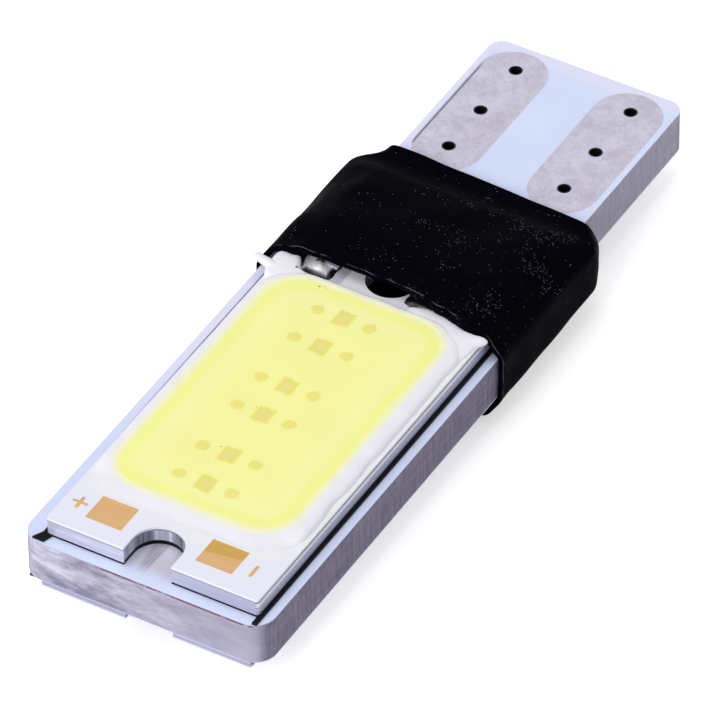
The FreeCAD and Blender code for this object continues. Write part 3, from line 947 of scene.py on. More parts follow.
@dataclass(frozen=True)
class Phosphor(Finish):
    """Pale yellow phosphor gel, deeper near its rim, with chips and pads showing through."""

    slot: str = "yellow_phosphor"
    heart: Colour = shade(247, 246, 158)
    ring: Colour = shade(246, 247, 168)
    line: Colour = shade(245, 246, 148)
    rim: Colour = shade(244, 244, 196)
    chip: Colour = shade(233, 222, 108)
    chip_middle: Colour = shade(236, 222, 146)
    bond: Colour = shade(236, 226, 114)
    fleck: Colour = shade(120, 88, 60)
    ring_start: Span = (-2.4, -0.9)
    line_start: Span = (-1.0, -0.3)
    rim_start: Span = (-0.26, 0.06)
    clouds: Span = (0.3, 0.7)
    wander: Span = (-0.05, 0.05)
    rows_middle: float = -7.64
    chip_across: float = -0.23
    chip_lean: float = -0.0221
    first_row: float = -13.52
    pair_pitch: float = 4.88
    row_pitch: float = 2.01
    row_margin: float = 0.8
    bond_offset: float = 1.27
    bond_rim: Span = (0.24, 0.38)
    chip_box: Triple = (0.4, 0.46, 0.16)
    middle_box: Triple = (0.2, 0.22, 0.2)
    joint_band: Triple = (-2.7, 0.4, 0.5)
    joint_start: Span = (-1.5, -0.3)
    chip_cover: float = 0.85
    shown: float = 0.8
    sparse_cover: float = 0.5
    fleck_cover: float = 0.75

    def box(self, coat: Coat, across: Value, along: Value, box: Triple) -> Socket:
        """Mask a soft rectangle.

        Args:
            coat: The material's sheet.
            across: Distance across from its middle, without sign.
            along: Distance along from its middle, without sign.
            box: Half its width, half its length and the width of its soft edge.

        Returns:
            The mask's socket.
        """
        half_wide, half_long, soft = box
        over = coat.most(coat.less(across, half_wide), coat.less(along, half_long))
        return coat.fall(over, (-soft / 2, soft / 2))

    def row_distance(self, coat: Coat) -> Socket:
        """Measure along the bulb to the nearest row of chips, far off past the end rows.

        Args:
            coat: The material's sheet.

        Returns:
            The distance's socket.
        """
        along = coat.along
        wrapped = coat.maths(Sum.WRAP, coat.less(along, self.first_row), self.pair_pitch)
        nearest = coat.least(coat.maths(Sum.SIZE, wrapped), coat.gap(wrapped, self.row_pitch),
                             coat.gap(wrapped, self.pair_pitch))
        last_row = self.first_row + 2 * self.pair_pitch + self.row_pitch
        beyond = coat.maths(Sum.OVER_LIMIT, along, last_row + self.row_margin)
        before = coat.maths(Sum.OVER_LIMIT, self.first_row - self.row_margin, along)
        return coat.plus(nearest, coat.times(coat.plus(beyond, before), self.pair_pitch))

    def flecks(self, coat: Coat) -> Socket:
        """Mask flux flecks: thick before the left joint, a few anywhere.

        Args:
            coat: The material's sheet.

        Returns:
            The mask's socket.
        """
        thick = coat.specks(coat.raw, scale=5.0, share=0.75, radius=0.4)
        near_joint = coat.times(coat.band(coat.across, *self.joint_band),
                                coat.fade(coat.along, self.joint_start))
        sparse = coat.specks(coat.raw, scale=1.1, share=0.05, radius=0.05)
        both = coat.most(coat.times(thick, near_joint), coat.times(sparse, self.sparse_cover))
        return coat.times(both, self.fleck_cover)

    def paint(self, coat: Coat) -> None:
        """Colour the gel by its distance from the rim and show what lies under it.

        Args:
            coat: The material's sheet.
        """
        wobble = coat.noise(coat.raw, scale=0.5, detail=2.0, rough=0.5)
        loose = coat.plus(coat.from_pool(), coat.fade(wobble, self.clouds, self.wander))
        colour = self.heart
        for start, tone in ((self.ring_start, self.ring), (self.line_start, self.line),
                            (self.rim_start, self.rim)):
            colour = coat.mix(coat.fade(loose, start), colour, tone)
        lean = coat.times(coat.less(coat.along, self.rows_middle), self.chip_lean)
        beside = coat.gap(coat.across, coat.plus(lean, self.chip_across))
        shiver = coat.noise(coat.raw, scale=2.2, detail=2.0, rough=0.5)
        blur = coat.plus(self.row_distance(coat), coat.fade(shiver, self.clouds, self.wander))
        off_bond = coat.length(coat.gap(beside, self.bond_offset), blur)
        for mask, share, tone in (
                (self.box(coat, beside, blur, self.chip_box), self.chip_cover, self.chip),
                (self.box(coat, beside, blur, self.middle_box), self.shown, self.chip_middle),
                (coat.fall(off_bond, self.bond_rim), self.shown, self.bond)):
            colour = coat.mix(coat.times(mask, share), colour, tone)
        coat.lay(coat.mix(self.flecks(coat), colour, self.fleck), rough=0.42, relief=wobble,
                 bump=(0.03, 0.6), shine=0.35)


@dataclass(frozen=True)
class WhiteSilicone(Finish):
    """White silicone of the dam, tinted by the gel where it meets it."""

    slot: str = "white_silicone"
    plain: Colour = shade(236, 235, 245)
    near_slope_shade: Colour = shade(224, 222, 230)
    tint: Colour = shade(244, 244, 196)
    foot_shade: Colour = shade(222, 223, 240)
    flux: Colour = shade(70, 52, 56)
    tint_reach: Span = (-0.05, 0.42)
    near_slope_end: Span = (-15.3, -14.6)
    foot_heights: Span = (COAT_TOP + 0.02, COAT_TOP + 0.1)
    flux_across: Triple = (-3.2, 0.6, 0.2)
    flux_along: Triple = (0.12, 0.12, 0.1)

    def paint(self, coat: Coat) -> None:
        """Fade from the gel's tint to plain white, with painted shade on the near slope, a greyer
        foot of painted shade and specks of flux.

        Args:
            coat: The material's sheet.
        """
        cloud = coat.mottle(coat.raw, scale=0.5, contrast=2.0)
        # Painted shade: the dam's near slope is darkened.
        near_slope_shaded = coat.mix(coat.fall(coat.along, self.near_slope_end), self.plain, self.near_slope_shade)
        tinted = coat.mix(coat.fall(coat.from_pool(), self.tint_reach), near_slope_shaded, self.tint)
        # Painted shade: patchy grey at the dam's foot, where it meets the coat.
        foot_shade_mask = coat.times(coat.fall(coat.height, self.foot_heights, top=0.3), cloud)
        foot_shaded = coat.mix(foot_shade_mask, tinted, self.foot_shade)
        specks = coat.specks(coat.raw, scale=4.0, share=0.8, radius=0.5)
        fluxed = coat.times(specks, coat.band(coat.across, *self.flux_across),
                            coat.band(coat.along, *self.flux_along))
        coat.lay(coat.mix(fluxed, foot_shaded, self.flux), rough=0.45, relief=cloud,
                 bump=(0.03, 0.5), shine=0.3)


@dataclass(frozen=True)
class BrightSolder(Finish):
    """Grey white solder with painted highlights, dark lines of painted shade and reflection, and
    brown flux about its foot.
    """

    slot: str = "solder"
    pale: Colour = shade(255, 255, 255)
    dark: Colour = shade(186, 184, 196)
    painted_line: Colour = shade(26, 22, 26)
    flux: Colour = shade(24, 17, 17)
    painted_line_values: Span = (0.37, 0.42)
    foot_heights: Span = (COAT_TOP - 0.05, COAT_TOP + 0.12)
    foot_clouds: Span = (0.25, 0.6)
    front_end: Span = (0.38, 0.54)
    front_heights: Span = (COAT_TOP + 0.18, COAT_TOP + 0.26)
    right_start: Span = (-2.6, -2.45)
    right_heights: Span = (COAT_TOP + 0.24, COAT_TOP + 0.32)

    def paint(self, coat: Coat) -> None:
        """Cloud the solder pale and dark, paint dark lines of shade and reflection, stain its foot
        and front with flux, darken its right end low down in the flux colour, and dull it where
        stained.

        Args:
            coat: The material's sheet.
        """
        # The pale and dark clouds stand partly for painted highlights and reflections on the shiny
        # solder.
        cloud = coat.mottle(coat.raw, scale=1.2, contrast=4.0)
        swirl = coat.noise(coat.raw, scale=1.1, detail=1.0, rough=0.5)
        # Painted shade and reflection: dark lines where the swirl noise falls in a band.
        with_painted_lines = coat.mix(coat.fall(swirl, self.painted_line_values, top=0.9),
                           coat.mix(cloud, self.dark, self.pale), self.painted_line)
        clouded = coat.times(coat.fall(coat.height, self.foot_heights),
                             coat.fade(cloud, self.foot_clouds))
        front = coat.times(coat.fall(coat.along, self.front_end),
                           coat.fall(coat.height, self.front_heights))
        # Darker towards the right end, low down, in the flux colour.
        right_end = coat.times(coat.fade(coat.across, self.right_start),
                               coat.fall(coat.height, self.right_heights))
        stain = coat.most(clouded, front, right_end)
        crust = coat.noise(coat.raw, scale=3.4, detail=3.0, rough=0.6)
        coat.lay(coat.mix(stain, with_painted_lines, self.flux), rough=0.28, relief=crust,
                 bump=(0.05, 0.7), metal=coat.fade(stain, CLOUDS, (0.25, 0.1)))


@dataclass(frozen=True)
class ShrunkFilm(Finish):
    """Black heat-shrink film, semi-matt, dusty and scuffed on its right half."""

    slot: str = "black_film"
    plain: Colour = shade(1, 1, 7)
    worn: Colour = shade(6, 5, 13)
    dust: Colour = shade(164, 164, 196)
    painted_line: Colour = shade(120, 120, 140)
    lip_highlight_band: Triple = (0.03, 0.006, 0.02)
    lip_highlight_breaks: Span = (0.44, 0.6)
    dusty_side: Span = (-3.0, 4.5)
    drifts: Span = (0.45, 1.0)
    hair_turn: Triple = (0.0, 0.0, 0.7)
    hair_stretch: Triple = (0.8, 9.0, 3.0)

    def dusting(self, coat: Coat, patch: Socket) -> Socket:
        """Scatter fine dust, larger specks and short hairs, denser where a patch is.

        Args:
            coat: The material's sheet.
            patch: Density from 0 to 1.

        Returns:
            The dust's mask.
        """
        hairs = coat.turned(coat.raw, self.hair_turn, self.hair_stretch)
        layers = []
        for vector, scale, share, radius, strength in (
                (coat.raw, 13.0, 0.8, 0.45, 0.36), (coat.raw, 4.0, 0.16, 0.18, 0.85),
                (hairs, 1.1, 0.2, 0.2, 0.4)):
            mask = coat.specks(vector, scale, coat.times(patch, share), radius)
            layers.append(coat.times(mask, strength))
        return coat.most(*layers)

    def paint(self, coat: Coat) -> None:
        """Dust the film, thicker towards the right, and paint a highlight line along the top edge
        of its mouth.

        Args:
            coat: The material's sheet.
        """
        cloud = coat.mottle(coat.raw, scale=0.5, contrast=3.0)
        rightward = coat.fade(coat.across, self.dusty_side, ends=(0.15, 1.0))
        drift = coat.mottle(coat.raw, scale=0.42, contrast=5.0)
        patch = coat.times(rightward, coat.fade(drift, self.drifts, ends=(0.06, 1.0)))
        dusty = coat.mix(self.dusting(coat, patch), coat.mix(cloud, self.plain, self.worn),
                         self.dust)
        from_mouth = coat.add("ShaderNodeAttribute", attribute_name="from_mouth").outputs["Fac"]
        breaks = coat.noise(coat.raw, scale=1.6, detail=3.0, rough=0.6)
        highlight_breaks = coat.fade(breaks, self.lip_highlight_breaks, ends=(0.0, 0.7))
        # Painted highlight: a broken light line along the top edge of the mouth's cut.
        line = coat.times(coat.band(from_mouth, *self.lip_highlight_band), highlight_breaks)
        grain = coat.noise(coat.raw, scale=4.5, detail=4.0, rough=0.65)
        coat.lay(coat.mix(line, dusty, self.painted_line),
                 rough=coat.fade(cloud, CLOUDS, (0.38, 0.5)), relief=grain,
                 bump=(0.012, 0.5), shine=0.008)


@dataclass(frozen=True)
class CloudedFinish(Finish):
    """A plain finish of two tones in clouds, with a little grain and its own gloss."""

    pale: Colour
    dark: Colour
    rough: float
    metal: float = 0.0
    shine: float = 0.5
    scale: float = 2.0
    contrast: float = 2.5
    grain: Span = (0.01, 0.5)

    def paint(self, coat: Coat) -> None:
        """Mix the two tones in clouds and bump them a little.

        Args:
            coat: The material's sheet.
        """
        cloud = coat.mottle(coat.raw, self.scale, self.contrast)
        coat.lay(coat.mix(cloud, self.dark, self.pale), rough=self.rough, relief=cloud,
                 bump=self.grain, metal=self.metal, shine=self.shine)


class Finishes:
    """All finishes by slot, made once."""

    def __init__(self) -> None:
        """Make each finish's material."""
        kinds = (
            FibreglassEdge(), MaskEnamel(), TinnedPad(), WhiteCoat(), PlateAluminium(),
            BareCopper(), Phosphor(), WhiteSilicone(), BrightSolder(), ShrunkFilm(),
            CloudedFinish("black_adhesive", shade(9, 9, 15), shade(3, 3, 8), rough=0.36,
                          shine=0.15, scale=1.2, contrast=2.0, grain=(0.03, 0.6)),
            CloudedFinish("chip_crystal", shade(226, 222, 170), shade(200, 190, 130), rough=0.2),
            CloudedFinish("gold", shade(240, 200, 110), shade(214, 168, 70), rough=0.25,
                          metal=1.0),
            CloudedFinish("black_epoxy", shade(34, 34, 38), shade(18, 18, 20), rough=0.55),
            CloudedFinish("dark_ceramic", shade(44, 44, 50), shade(26, 26, 30), rough=0.35),
        )
        self.by_slot = {kind.slot: kind.material() for kind in kinds}

    def dress_nodes(self) -> None:
        """Give every node of the frame the finish that its record names."""
        for part in frame["record"]["subparts"]:
            mesh = frame["nodes"][part["node"]].data
            material = self.by_slot[part["material_slot"]]
            for index in range(len(mesh.materials)):
                mesh.materials[index] = material
            if not mesh.materials:
                mesh.materials.append(material)


def signed_volume(points: np.ndarray, quads: np.ndarray) -> float:
    """Add up the tetrahedra between the origin and each half of every quad.

    Args:
        points: Vertices, one a row.
        quads: Vertex numbers, four a row.

    Returns:
        Six times the volume, less than nothing if the faces point inwards.
    """
    total = 0.0
    for corners in ((0, 1, 2), (0, 2, 3)):
        a, b, c = (points[quads[:, corner]] for corner in corners)
        total += float(np.einsum("ij,ij->i", a, np.cross(b, c)).sum())
    return total


@dataclass
class Skin:
    """A closed surface on a grid of rings: rows run on, columns run round.

    Each row is a ring of points. The rows either join last to first, or end in a pole at
    the mean of the first and of the last ring.
    """

    rings: np.ndarray
    looped: bool = False

    @classmethod
    def over_floor(cls, upper: np.ndarray, level: float) -> "Skin":
        """Close rings that run outwards with two level rings back under them.

        Args:
            upper: The rings of the upper side, from the middle out.
            level: Height of the underside.

        Returns:
            The closed skin.
        """
        lower = upper[[-1, 0]].copy()
        lower[..., 2] = level
        return cls(np.concatenate([upper, lower]))

    def arrays(self) -> tuple[np.ndarray, np.ndarray]:
        """Lay the grid out as vertices and quads, with poles as doubled corners.

        Returns:
            Vertices in millimetres and quads of vertex numbers, facing outwards.
        """
        rows, columns, _ = self.rings.shape
        points = self.rings.reshape(-1, 3)
        numbers = np.arange(rows * columns).reshape(rows, columns)
        onward = np.roll(numbers, -1, axis=1)
        last = rows if self.looped else rows - 1
        after = np.roll(numbers, -1, axis=0)[:last]
        after_onward = np.roll(onward, -1, axis=0)[:last]
        quads = np.stack([numbers[:last], onward[:last], after_onward, after], -1).reshape(-1, 4)
        if not self.looped:
            poles = np.stack([self.rings[0].mean(0), self.rings[-1].mean(0)])
            points = np.concatenate([points, poles])
            first_pole = np.full(columns, rows * columns)
            caps = [np.stack([onward[0], numbers[0], first_pole, first_pole], -1),
                    np.stack([numbers[-1], onward[-1], first_pole + 1, first_pole + 1], -1)]
            quads = np.concatenate([quads, *caps])
        if signed_volume(points, quads) < 0:
            quads = quads[:, ::-1]
        return points, quads


def make_piece(name: str, skins: list[Skin], face: Face | None, finishes: Finishes,
               slot: str, sharp_degrees: float = 180.0) -> bpy.types.Object:
    """Turn closed skins into one finished piece that rides with the bulb.

    Args:
        name: The piece's name.
        skins: Its closed surfaces.
        face: The face it lies on, or none where its points are in the frame already.
        finishes: The bulb's finishes.
        slot: The record's slot whose finish it wears.
        sharp_degrees: Angle from which an edge stays sharp.

    Returns:
        The piece.
    """
    points, faces, count = [], [], 0
    for skin in skins:
        vertices, quads = skin.arrays()
        points.append(vertices)
        faces += [tuple(dict.fromkeys(quad)) for quad in (quads + count).tolist()]
        count += len(vertices)
    placed = np.concatenate(points)
    if face is not None:
        placed = face.place(placed)
    mesh = bpy.data.meshes.new(name)
    mesh.from_pydata((placed * MM).tolist(), [], faces)
    mesh.polygons.foreach_set("use_smooth", np.ones(len(faces), bool))
    if sharp_degrees < 180.0:
        mesh.set_sharp_from_angle(angle=math.radians(sharp_degrees))
    mesh.materials.append(finishes.by_slot[slot])
    mesh.update()
    piece = bpy.data.objects.new(name, mesh)
    bpy.context.scene.collection.objects.link(piece)
    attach(piece, BODY)
    LOG.info("%s: %d faces", name, len(faces))
    return piece


@dataclass(frozen=True)
class Ripple:
    """Unevenness: a few sine waves of seeded direction, length and phase, added up."""

    size: float
    seed: int
    count: int
    shortest: float
    longest: float

    def at(self, across: np.ndarray, along: np.ndarray) -> np.ndarray:
        """Add up the sines of each place's run over each wave's length.

        Args:
            across: First coordinate in millimetres.
            along: Second coordinate in millimetres.

        Returns:
            The sum at each place, about within the ripple's size on either side.
        """
        draws = np.random.default_rng(self.seed).random((self.count, 3))
        total = np.zeros(np.broadcast(across, along).shape)
        for turn, length, phase in draws:
            angle = turn * 2 * math.pi
            reach = self.shortest + length * (self.longest - self.shortest)
            run = (across * math.cos(angle) + along * math.sin(angle)) / reach
            total = total + np.sin(2 * math.pi * (run + phase))
        return self.size * (total / math.sqrt(2 * self.count))


def rounded_loop(half_width: float, near: float, far: float, corner: float,
                 straight: int, bend: int) -> np.ndarray:
    """Walk a rounded rectangle: four quarter circles joined by straight runs.

    Args:
        half_width: Half its width.
        near: Its near end along the bulb.
        far: Its far end.
        corner: Its corner radius.
        straight: Points on each straight run.
        bend: Points on each quarter circle.

    Returns:
        The points in order, anticlockwise from the right side, with X and Y.
    """
    x, high, low = half_width - corner, far - corner, near + corner
    centres = ((x, high), (-x, high), (-x, low), (x, low))
    arcs = []
    for index, (centre_x, centre_y) in enumerate(centres):
        angle = (index + np.linspace(0, 1, bend)) * math.pi / 2
        arcs.append(np.stack([centre_x + corner * np.cos(angle),
                              centre_y + corner * np.sin(angle)], -1))
    share = np.linspace(0, 1, straight + 2)[1:-1, None]
    runs = []
    for index, arc in enumerate(arcs):
        start, end = arc[-1], arcs[(index + 1) % 4][0]
        runs += [arc, start + share * (end - start)]
    return np.concatenate(runs)


def even_walk(corners: np.ndarray, count: int) -> np.ndarray:
    """Walk a closed outline at even steps of its length.

    Args:
        corners: Its corners in order, with the first again at the end.
        count: Number of steps.

    Returns:
        The points, one a row.
    """
    run = np.concatenate([[0.0], np.cumsum(np.linalg.norm(np.diff(corners, axis=0), axis=1))])
    wanted = np.linspace(0, run[-1], count, endpoint=False)
    return np.stack([np.interp(wanted, run, part) for part in corners.T], -1)


def raised(flat: np.ndarray, height: np.ndarray) -> np.ndarray:
    """Join flat places and a height for each into points."""
    return np.concatenate([flat, height[..., None]], -1)


def ring_shares(inner: tuple[float, float, int], outer: tuple[float, float, int]) -> np.ndarray:
    """Space rings evenly over an inner run, and closer over an outer one, in a column."""
    return np.concatenate([np.linspace(*inner), np.linspace(*outer)])[:, None]


@dataclass
class GelPool:
    """The silicone dam on one face and the phosphor gel that fills it."""

    face: Face
    straight: int = 60
    bend: int = 24
    crest: float = 0.28
    dam_side: float = 0.62
    dam_right_extra: float = 0.26
    dam_near: float = 0.95
    dam_far: float = 0.42
    dam_corner: float = 2.0
    dam_steps: int = 16
    dam_crown: float = 0.05
    dam_wall: float = 0.99
    dam_sink: float = 0.1
    dam_start: float = 0.02
    dam_under: Span = (0.75, 0.35)
    near_blend: float = 1.5
    near_power: float = 1.5
    far_power: int = 4
    gel_height: float = 0.28
    gel_level: float = 0.27
    gel_rim: float = 0.98
    gel_climb_power: int = 12
    gel_calm_power: int = 6
    foot_ripple: Ripple = Ripple(size=0.09, seed=11, count=7, shortest=1.2, longest=4.0)
    crown_ripple: Ripple = Ripple(size=0.5, seed=12, count=6, shortest=1.0, longest=3.5)
    gel_ripple: Ripple = Ripple(size=0.02, seed=13, count=5, shortest=3.0, longest=8.0)

    def inner_loop(self) -> np.ndarray:
        """Walk the line where gel and dam meet."""
        return rounded_loop(POOL.half_width, POOL.near, POOL.far, POOL.corner,
                            self.straight, self.bend)

    def outer_loop(self) -> np.ndarray:
        """Walk the dam's foot, wider at the right and pulled in unevenly.

        Returns:
            The points in order, with X and Y.
        """
        loop = rounded_loop(POOL.half_width + self.dam_side, POOL.near - self.dam_near,
                            POOL.far + self.dam_far, self.dam_corner, self.straight, self.bend)
        inner = self.inner_loop()
        loop[:, 0] += self.dam_right_extra * np.clip(loop[:, 0] / POOL.half_width, 0, 1)
        push = 1 + self.foot_ripple.at(loop[:, 0], loop[:, 1])
        return inner + (loop - inner) * np.minimum(push, 1.0)[:, None]

    def dam_skin(self) -> Skin:
        """Carry the dam's section round the pool.

        The section is steep at the gel and highest near it. It falls to the foot as a power
        of the cosine at the near end, and stays flat until close to the foot elsewhere.

        Returns:
            The dam's closed skin.
        """
        inner, outer = self.inner_loop(), self.outer_loop()
        top = np.linspace(self.dam_start, 1.0, self.dam_steps)
        out_share = np.concatenate([[0.0, 0.0], top, self.dam_under])
        fall = np.clip((top - self.dam_crown) / (1 - self.dam_crown), 0, 1)
        near = np.clip(1 - (inner[:, 1:] - POOL.near) / self.near_blend, 0, 1)
        rise = np.zeros((len(inner), len(out_share)))
        rise[:, 1] = self.dam_wall
        rise[:, 2:2 + self.dam_steps] = (
            near * np.cos(fall * math.pi / 2) ** self.near_power
            + (1 - near) * np.sqrt(1 - fall ** self.far_power))
        flat = inner[:, None, :] + out_share[None, :, None] * (outer - inner)[:, None, :]
        uneven = 0.5 + self.crown_ripple.at(flat[..., 0], flat[..., 1])
        height = COAT_TOP + self.crest * rise * (1 - self.dam_sink * uneven)
        return Skin(raised(flat, height), looped=True)

    def gel_skin(self) -> Skin:
        """Spread the gel from a centre line to its rim.

        Rings shrink towards the middle. The top is level but for its ripple, which calms
        towards the rim, and climbs the dam as a high power of the ring's share.

        Returns:
            The gel's closed skin.
        """
        rim = self.inner_loop()
        centre = np.array([0.0, POOL.middle])
        share = ring_shares((0.02, 0.9, 40), (0.915, 1.0, 12))
        flat = centre + share[..., None] * (rim - centre)
        swell = self.gel_ripple.at(flat[..., 0], flat[..., 1])
        climb = (self.crest * self.gel_rim - self.gel_height) * share ** self.gel_climb_power
        top = COAT_TOP + self.gel_level + climb + swell * (1 - share ** self.gel_calm_power)
        return Skin.over_floor(raised(flat, top), COAT_TOP)

    def build(self, finishes: Finishes) -> None:
        """Make the dam and the gel of this face.

        Args:
            finishes: The bulb's finishes.
        """
        prefix = self.face.value
        skins = [self.dam_skin()]
        if self.face is Face.UPPER:
            skins += SiliconeTails().skins()
        dam = make_piece(prefix + "_dam_bead", skins, self.face, finishes, "white_silicone",
                         sharp_degrees=60)
        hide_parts(prefix + "_silicone_dam")
        gel = make_piece(prefix + "_gel_fill", [self.gel_skin()], self.face, finishes,
                         "yellow_phosphor", sharp_degrees=60)
        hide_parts(prefix + "_phosphor_pool")


def swept_drop(path: np.ndarray, radii: np.ndarray, flatness: float, columns: int = 20) -> Skin:
    """Carry a flattened circle along a path, its radius given at each point.

    Args:
        path: Points along the drop.
        radii: Radius at each point.
        flatness: Height over width of the section.
        columns: Points round the section.

    Returns:
        The closed skin.
    """
    ahead = np.gradient(path, axis=0)
    ahead /= np.linalg.norm(ahead, axis=1, keepdims=True)
    side = np.cross(ahead, [0.0, 0.0, 1.0])
    side /= np.linalg.norm(side, axis=1, keepdims=True)
    up = np.cross(side, ahead)
    angle = np.linspace(0, 2 * math.pi, columns, endpoint=False)
    out = (side[:, None, :] * np.cos(angle)[None, :, None]
           + up[:, None, :] * (flatness * np.sin(angle))[None, :, None])
    return Skin(path[:, None, :] + radii[:, None, None] * out)


@dataclass
class SiliconeTails:
    """Silicone that overshoots the dam's far corners on the upper face."""

    steps: int = 26
    around: int = 160
    sunk: float = 0.03
    string_path: tuple[Triple, ...] = (
        (-5.86, 0.1, 2.1), (-5.5, 0.02, 2.12), (-5.1, -0.06, 2.1), (-4.5, -0.12, 1.96))
    string_radii: tuple[float, ...] = (0.24, 0.22, 0.26, 0.34)
    string_flatness: float = 0.62
    string_softenings: int = 3
    string_end_power: int = 10
    string_end_least: float = 0.0004
    outline_softenings: int = 4
    edge_power: int = 6
    left_outline: tuple[Span, ...] = (
        (-4.86, -0.8), (-5.06, -0.37), (-5.14, 0.38), (-5.14, 0.66), (-5.06, 0.92),
        (-4.78, 1.08), (-4.5, 1.0), (-4.14, 1.12), (-3.9, 0.72), (-3.7, 0.3), (-3.2, 0.12),
        (-3.3, -0.3), (-4.0, -0.6), (-4.5, -0.9))
    left_height: float = 0.22
    left_ripple: Ripple = Ripple(size=0.05, seed=21, count=5, shortest=0.8, longest=2.5)
    right_outline: tuple[Span, ...] = (
        (1.5, -0.1), (1.5, 0.5), (2.14, 0.74), (2.86, 0.83), (3.53, 0.72), (4.21, 0.47),
        (4.83, 0.2), (5.06, 0.22), (5.26, 0.42), (5.56, 0.3), (5.48, 0.0), (5.28, -0.3),
        (5.22, -0.9), (5.08, -1.5), (4.85, -1.9), (4.5, -1.5), (4.2, -0.8), (3.6, -0.35),
        (2.6, -0.15))
    right_height: float = 0.24
    right_ripple: Ripple = Ripple(size=0.05, seed=22, count=5, shortest=0.8, longest=2.5)

    def string(self) -> Skin:
        """Sweep the string through its corners, with radii that pass smoothly between them.

        Steps crowd at both ends, each point is averaged with its neighbours three times, and
        the radius falls at the ends as the root of one less a tenth power.

        Returns:
            The string's skin.
        """
        knots = np.linspace(0, 1, len(self.string_path))
        run = (1 - np.cos(np.linspace(0, math.pi, self.steps))) / 2
        path = np.stack([np.interp(run, knots, part) for part in np.array(self.string_path).T], -1)
        for _ in range(self.string_softenings):
            inner = (path[:-2] + 2 * path[1:-1] + path[2:]) / 4
            path = np.concatenate([path[:1], inner, path[-1:]])
        from_middle = 2 * np.abs(run - 0.5)
        end_round = np.sqrt(np.clip(1 - from_middle ** self.string_end_power,
                                    self.string_end_least, 1))
        radii = np.interp(run, knots, self.string_radii) * end_round
        return swept_drop(path, radii, self.string_flatness)

    def puddle(self, outline: tuple[Span, ...], height: float, ripple: Ripple) -> Skin:
        """Spread a flat puddle inside a softened outline.

        Rings shrink towards the outline's mean. The top falls to the edge as the square
        root of one less the sixth power of the ring's share.

        Args:
            outline: Corners of the outline, in order.
            height: Height above the coat.
            ripple: Unevenness of its top.

        Returns:
            The puddle's skin.
        """
        loop = even_walk(np.array([*outline, outline[0]]), self.around)
        for _ in range(self.outline_softenings):
            loop = (np.roll(loop, 1, axis=0) + 2 * loop + np.roll(loop, -1, axis=0)) / 4
        share = ring_shares((0.03, 0.85, 12), (0.88, 1.0, 10))
        flat = loop.mean(0) + share[..., None] * (loop - loop.mean(0))
        uneven = 1 + ripple.at(flat[..., 0], flat[..., 1])
        rise = height * np.sqrt(np.clip(1 - share ** self.edge_power, 0, 1)) * uneven
        return Skin.over_floor(raised(flat, COAT_TOP + rise), COAT_TOP - self.sunk)

    def skins(self) -> list[Skin]:
        """Make the left string, and the puddle in which each far corner ends.

        Returns:
            The three skins.
        """
        return [self.string(),
                self.puddle(self.left_outline, self.left_height, self.left_ripple),
                self.puddle(self.right_outline, self.right_height, self.right_ripple)]


@dataclass
class SolderHeaps:
    """Two uneven solder heaps at the far pads of one face."""

    face: Face
    middles: tuple[Span, Span] = ((-3.13, 1.12), (1.96, 1.4))
    half_wide: float = 0.86
    half_long: float = 0.82
    foot: float = COAT_TOP - 0.03
    height: float = 0.43
    rows: int = 36
    columns: int = 64
    squareness: int = 6
    wander: float = 0.02
    fall_power: float = 3.2
    facet_seed: int = 5
    facets: int = 7
    facet_levels: Span = (0.62, 0.36)
    facet_tilts: Span = (0.12, 0.32)
    sunk: float = 0.02
    crust: tuple[Ripple, Ripple] = (
        Ripple(size=0.012, seed=39, count=6, shortest=0.3, longest=0.8),
        Ripple(size=0.012, seed=41, count=6, shortest=0.3, longest=0.8))

    def heap(self, hand: Hand) -> Skin:
        """Shape one heap.

        The foot is a rounded square. The height falls from the top as one less a power of
        the ring's share, and is cut by a few seeded slanting planes that leave facets.

        Args:
            hand: The side it lies on.

        Returns:
            The heap's skin.
        """
        share = np.linspace(0.02, 1, self.rows)[:, None]
        angle = np.linspace(0, 2 * math.pi, self.columns, endpoint=False)[None, :]
        square = (np.abs(np.cos(angle)) ** self.squareness
                  + np.abs(np.sin(angle)) ** self.squareness) ** (-1 / self.squareness)
        wander = 1 + self.wander * (np.sin(3 * angle + hand.value) + np.sin(7 * angle))
        x = share * square * wander * np.cos(angle) * self.half_wide
        y = share * square * wander * np.sin(angle) * self.half_long
        top = self.height * (1 - share ** self.fall_power) * np.ones_like(angle)
        (level_base, level_range), (tilt_base, tilt_range) = self.facet_levels, self.facet_tilts
        draws = np.random.default_rng(self.facet_seed + hand.value).random((self.facets, 3))
        for turn, tilt, level in draws:
            bearing = turn * 2 * math.pi
            plane = (self.height * (level_base + level_range * level)
                     - (tilt_base + tilt_range * tilt)
                     * (x * math.cos(bearing) + y * math.sin(bearing)))
            top = np.minimum(top, plane)
        side = 0 if hand is Hand.LEFT else 1
        top = np.maximum(top + self.crust[side].at(x, y) * (1 - share), 0)
        across, along = self.middles[side]
        upper = np.stack([x + across, y + along, self.foot + top], -1)
        return Skin.over_floor(upper, self.foot - self.sunk)

    def build(self, finishes: Finishes) -> None:
        """Make both heaps in place of the plain ones.

        Args:
            finishes: The bulb's finishes.
        """
        name = self.face.value + "_plate_solder_joints"
        heaps = make_piece(self.face.value + "_solder_heaps", [self.heap(h) for h in Hand],
                           self.face, finishes, "solder", sharp_degrees=38)
        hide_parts(name)


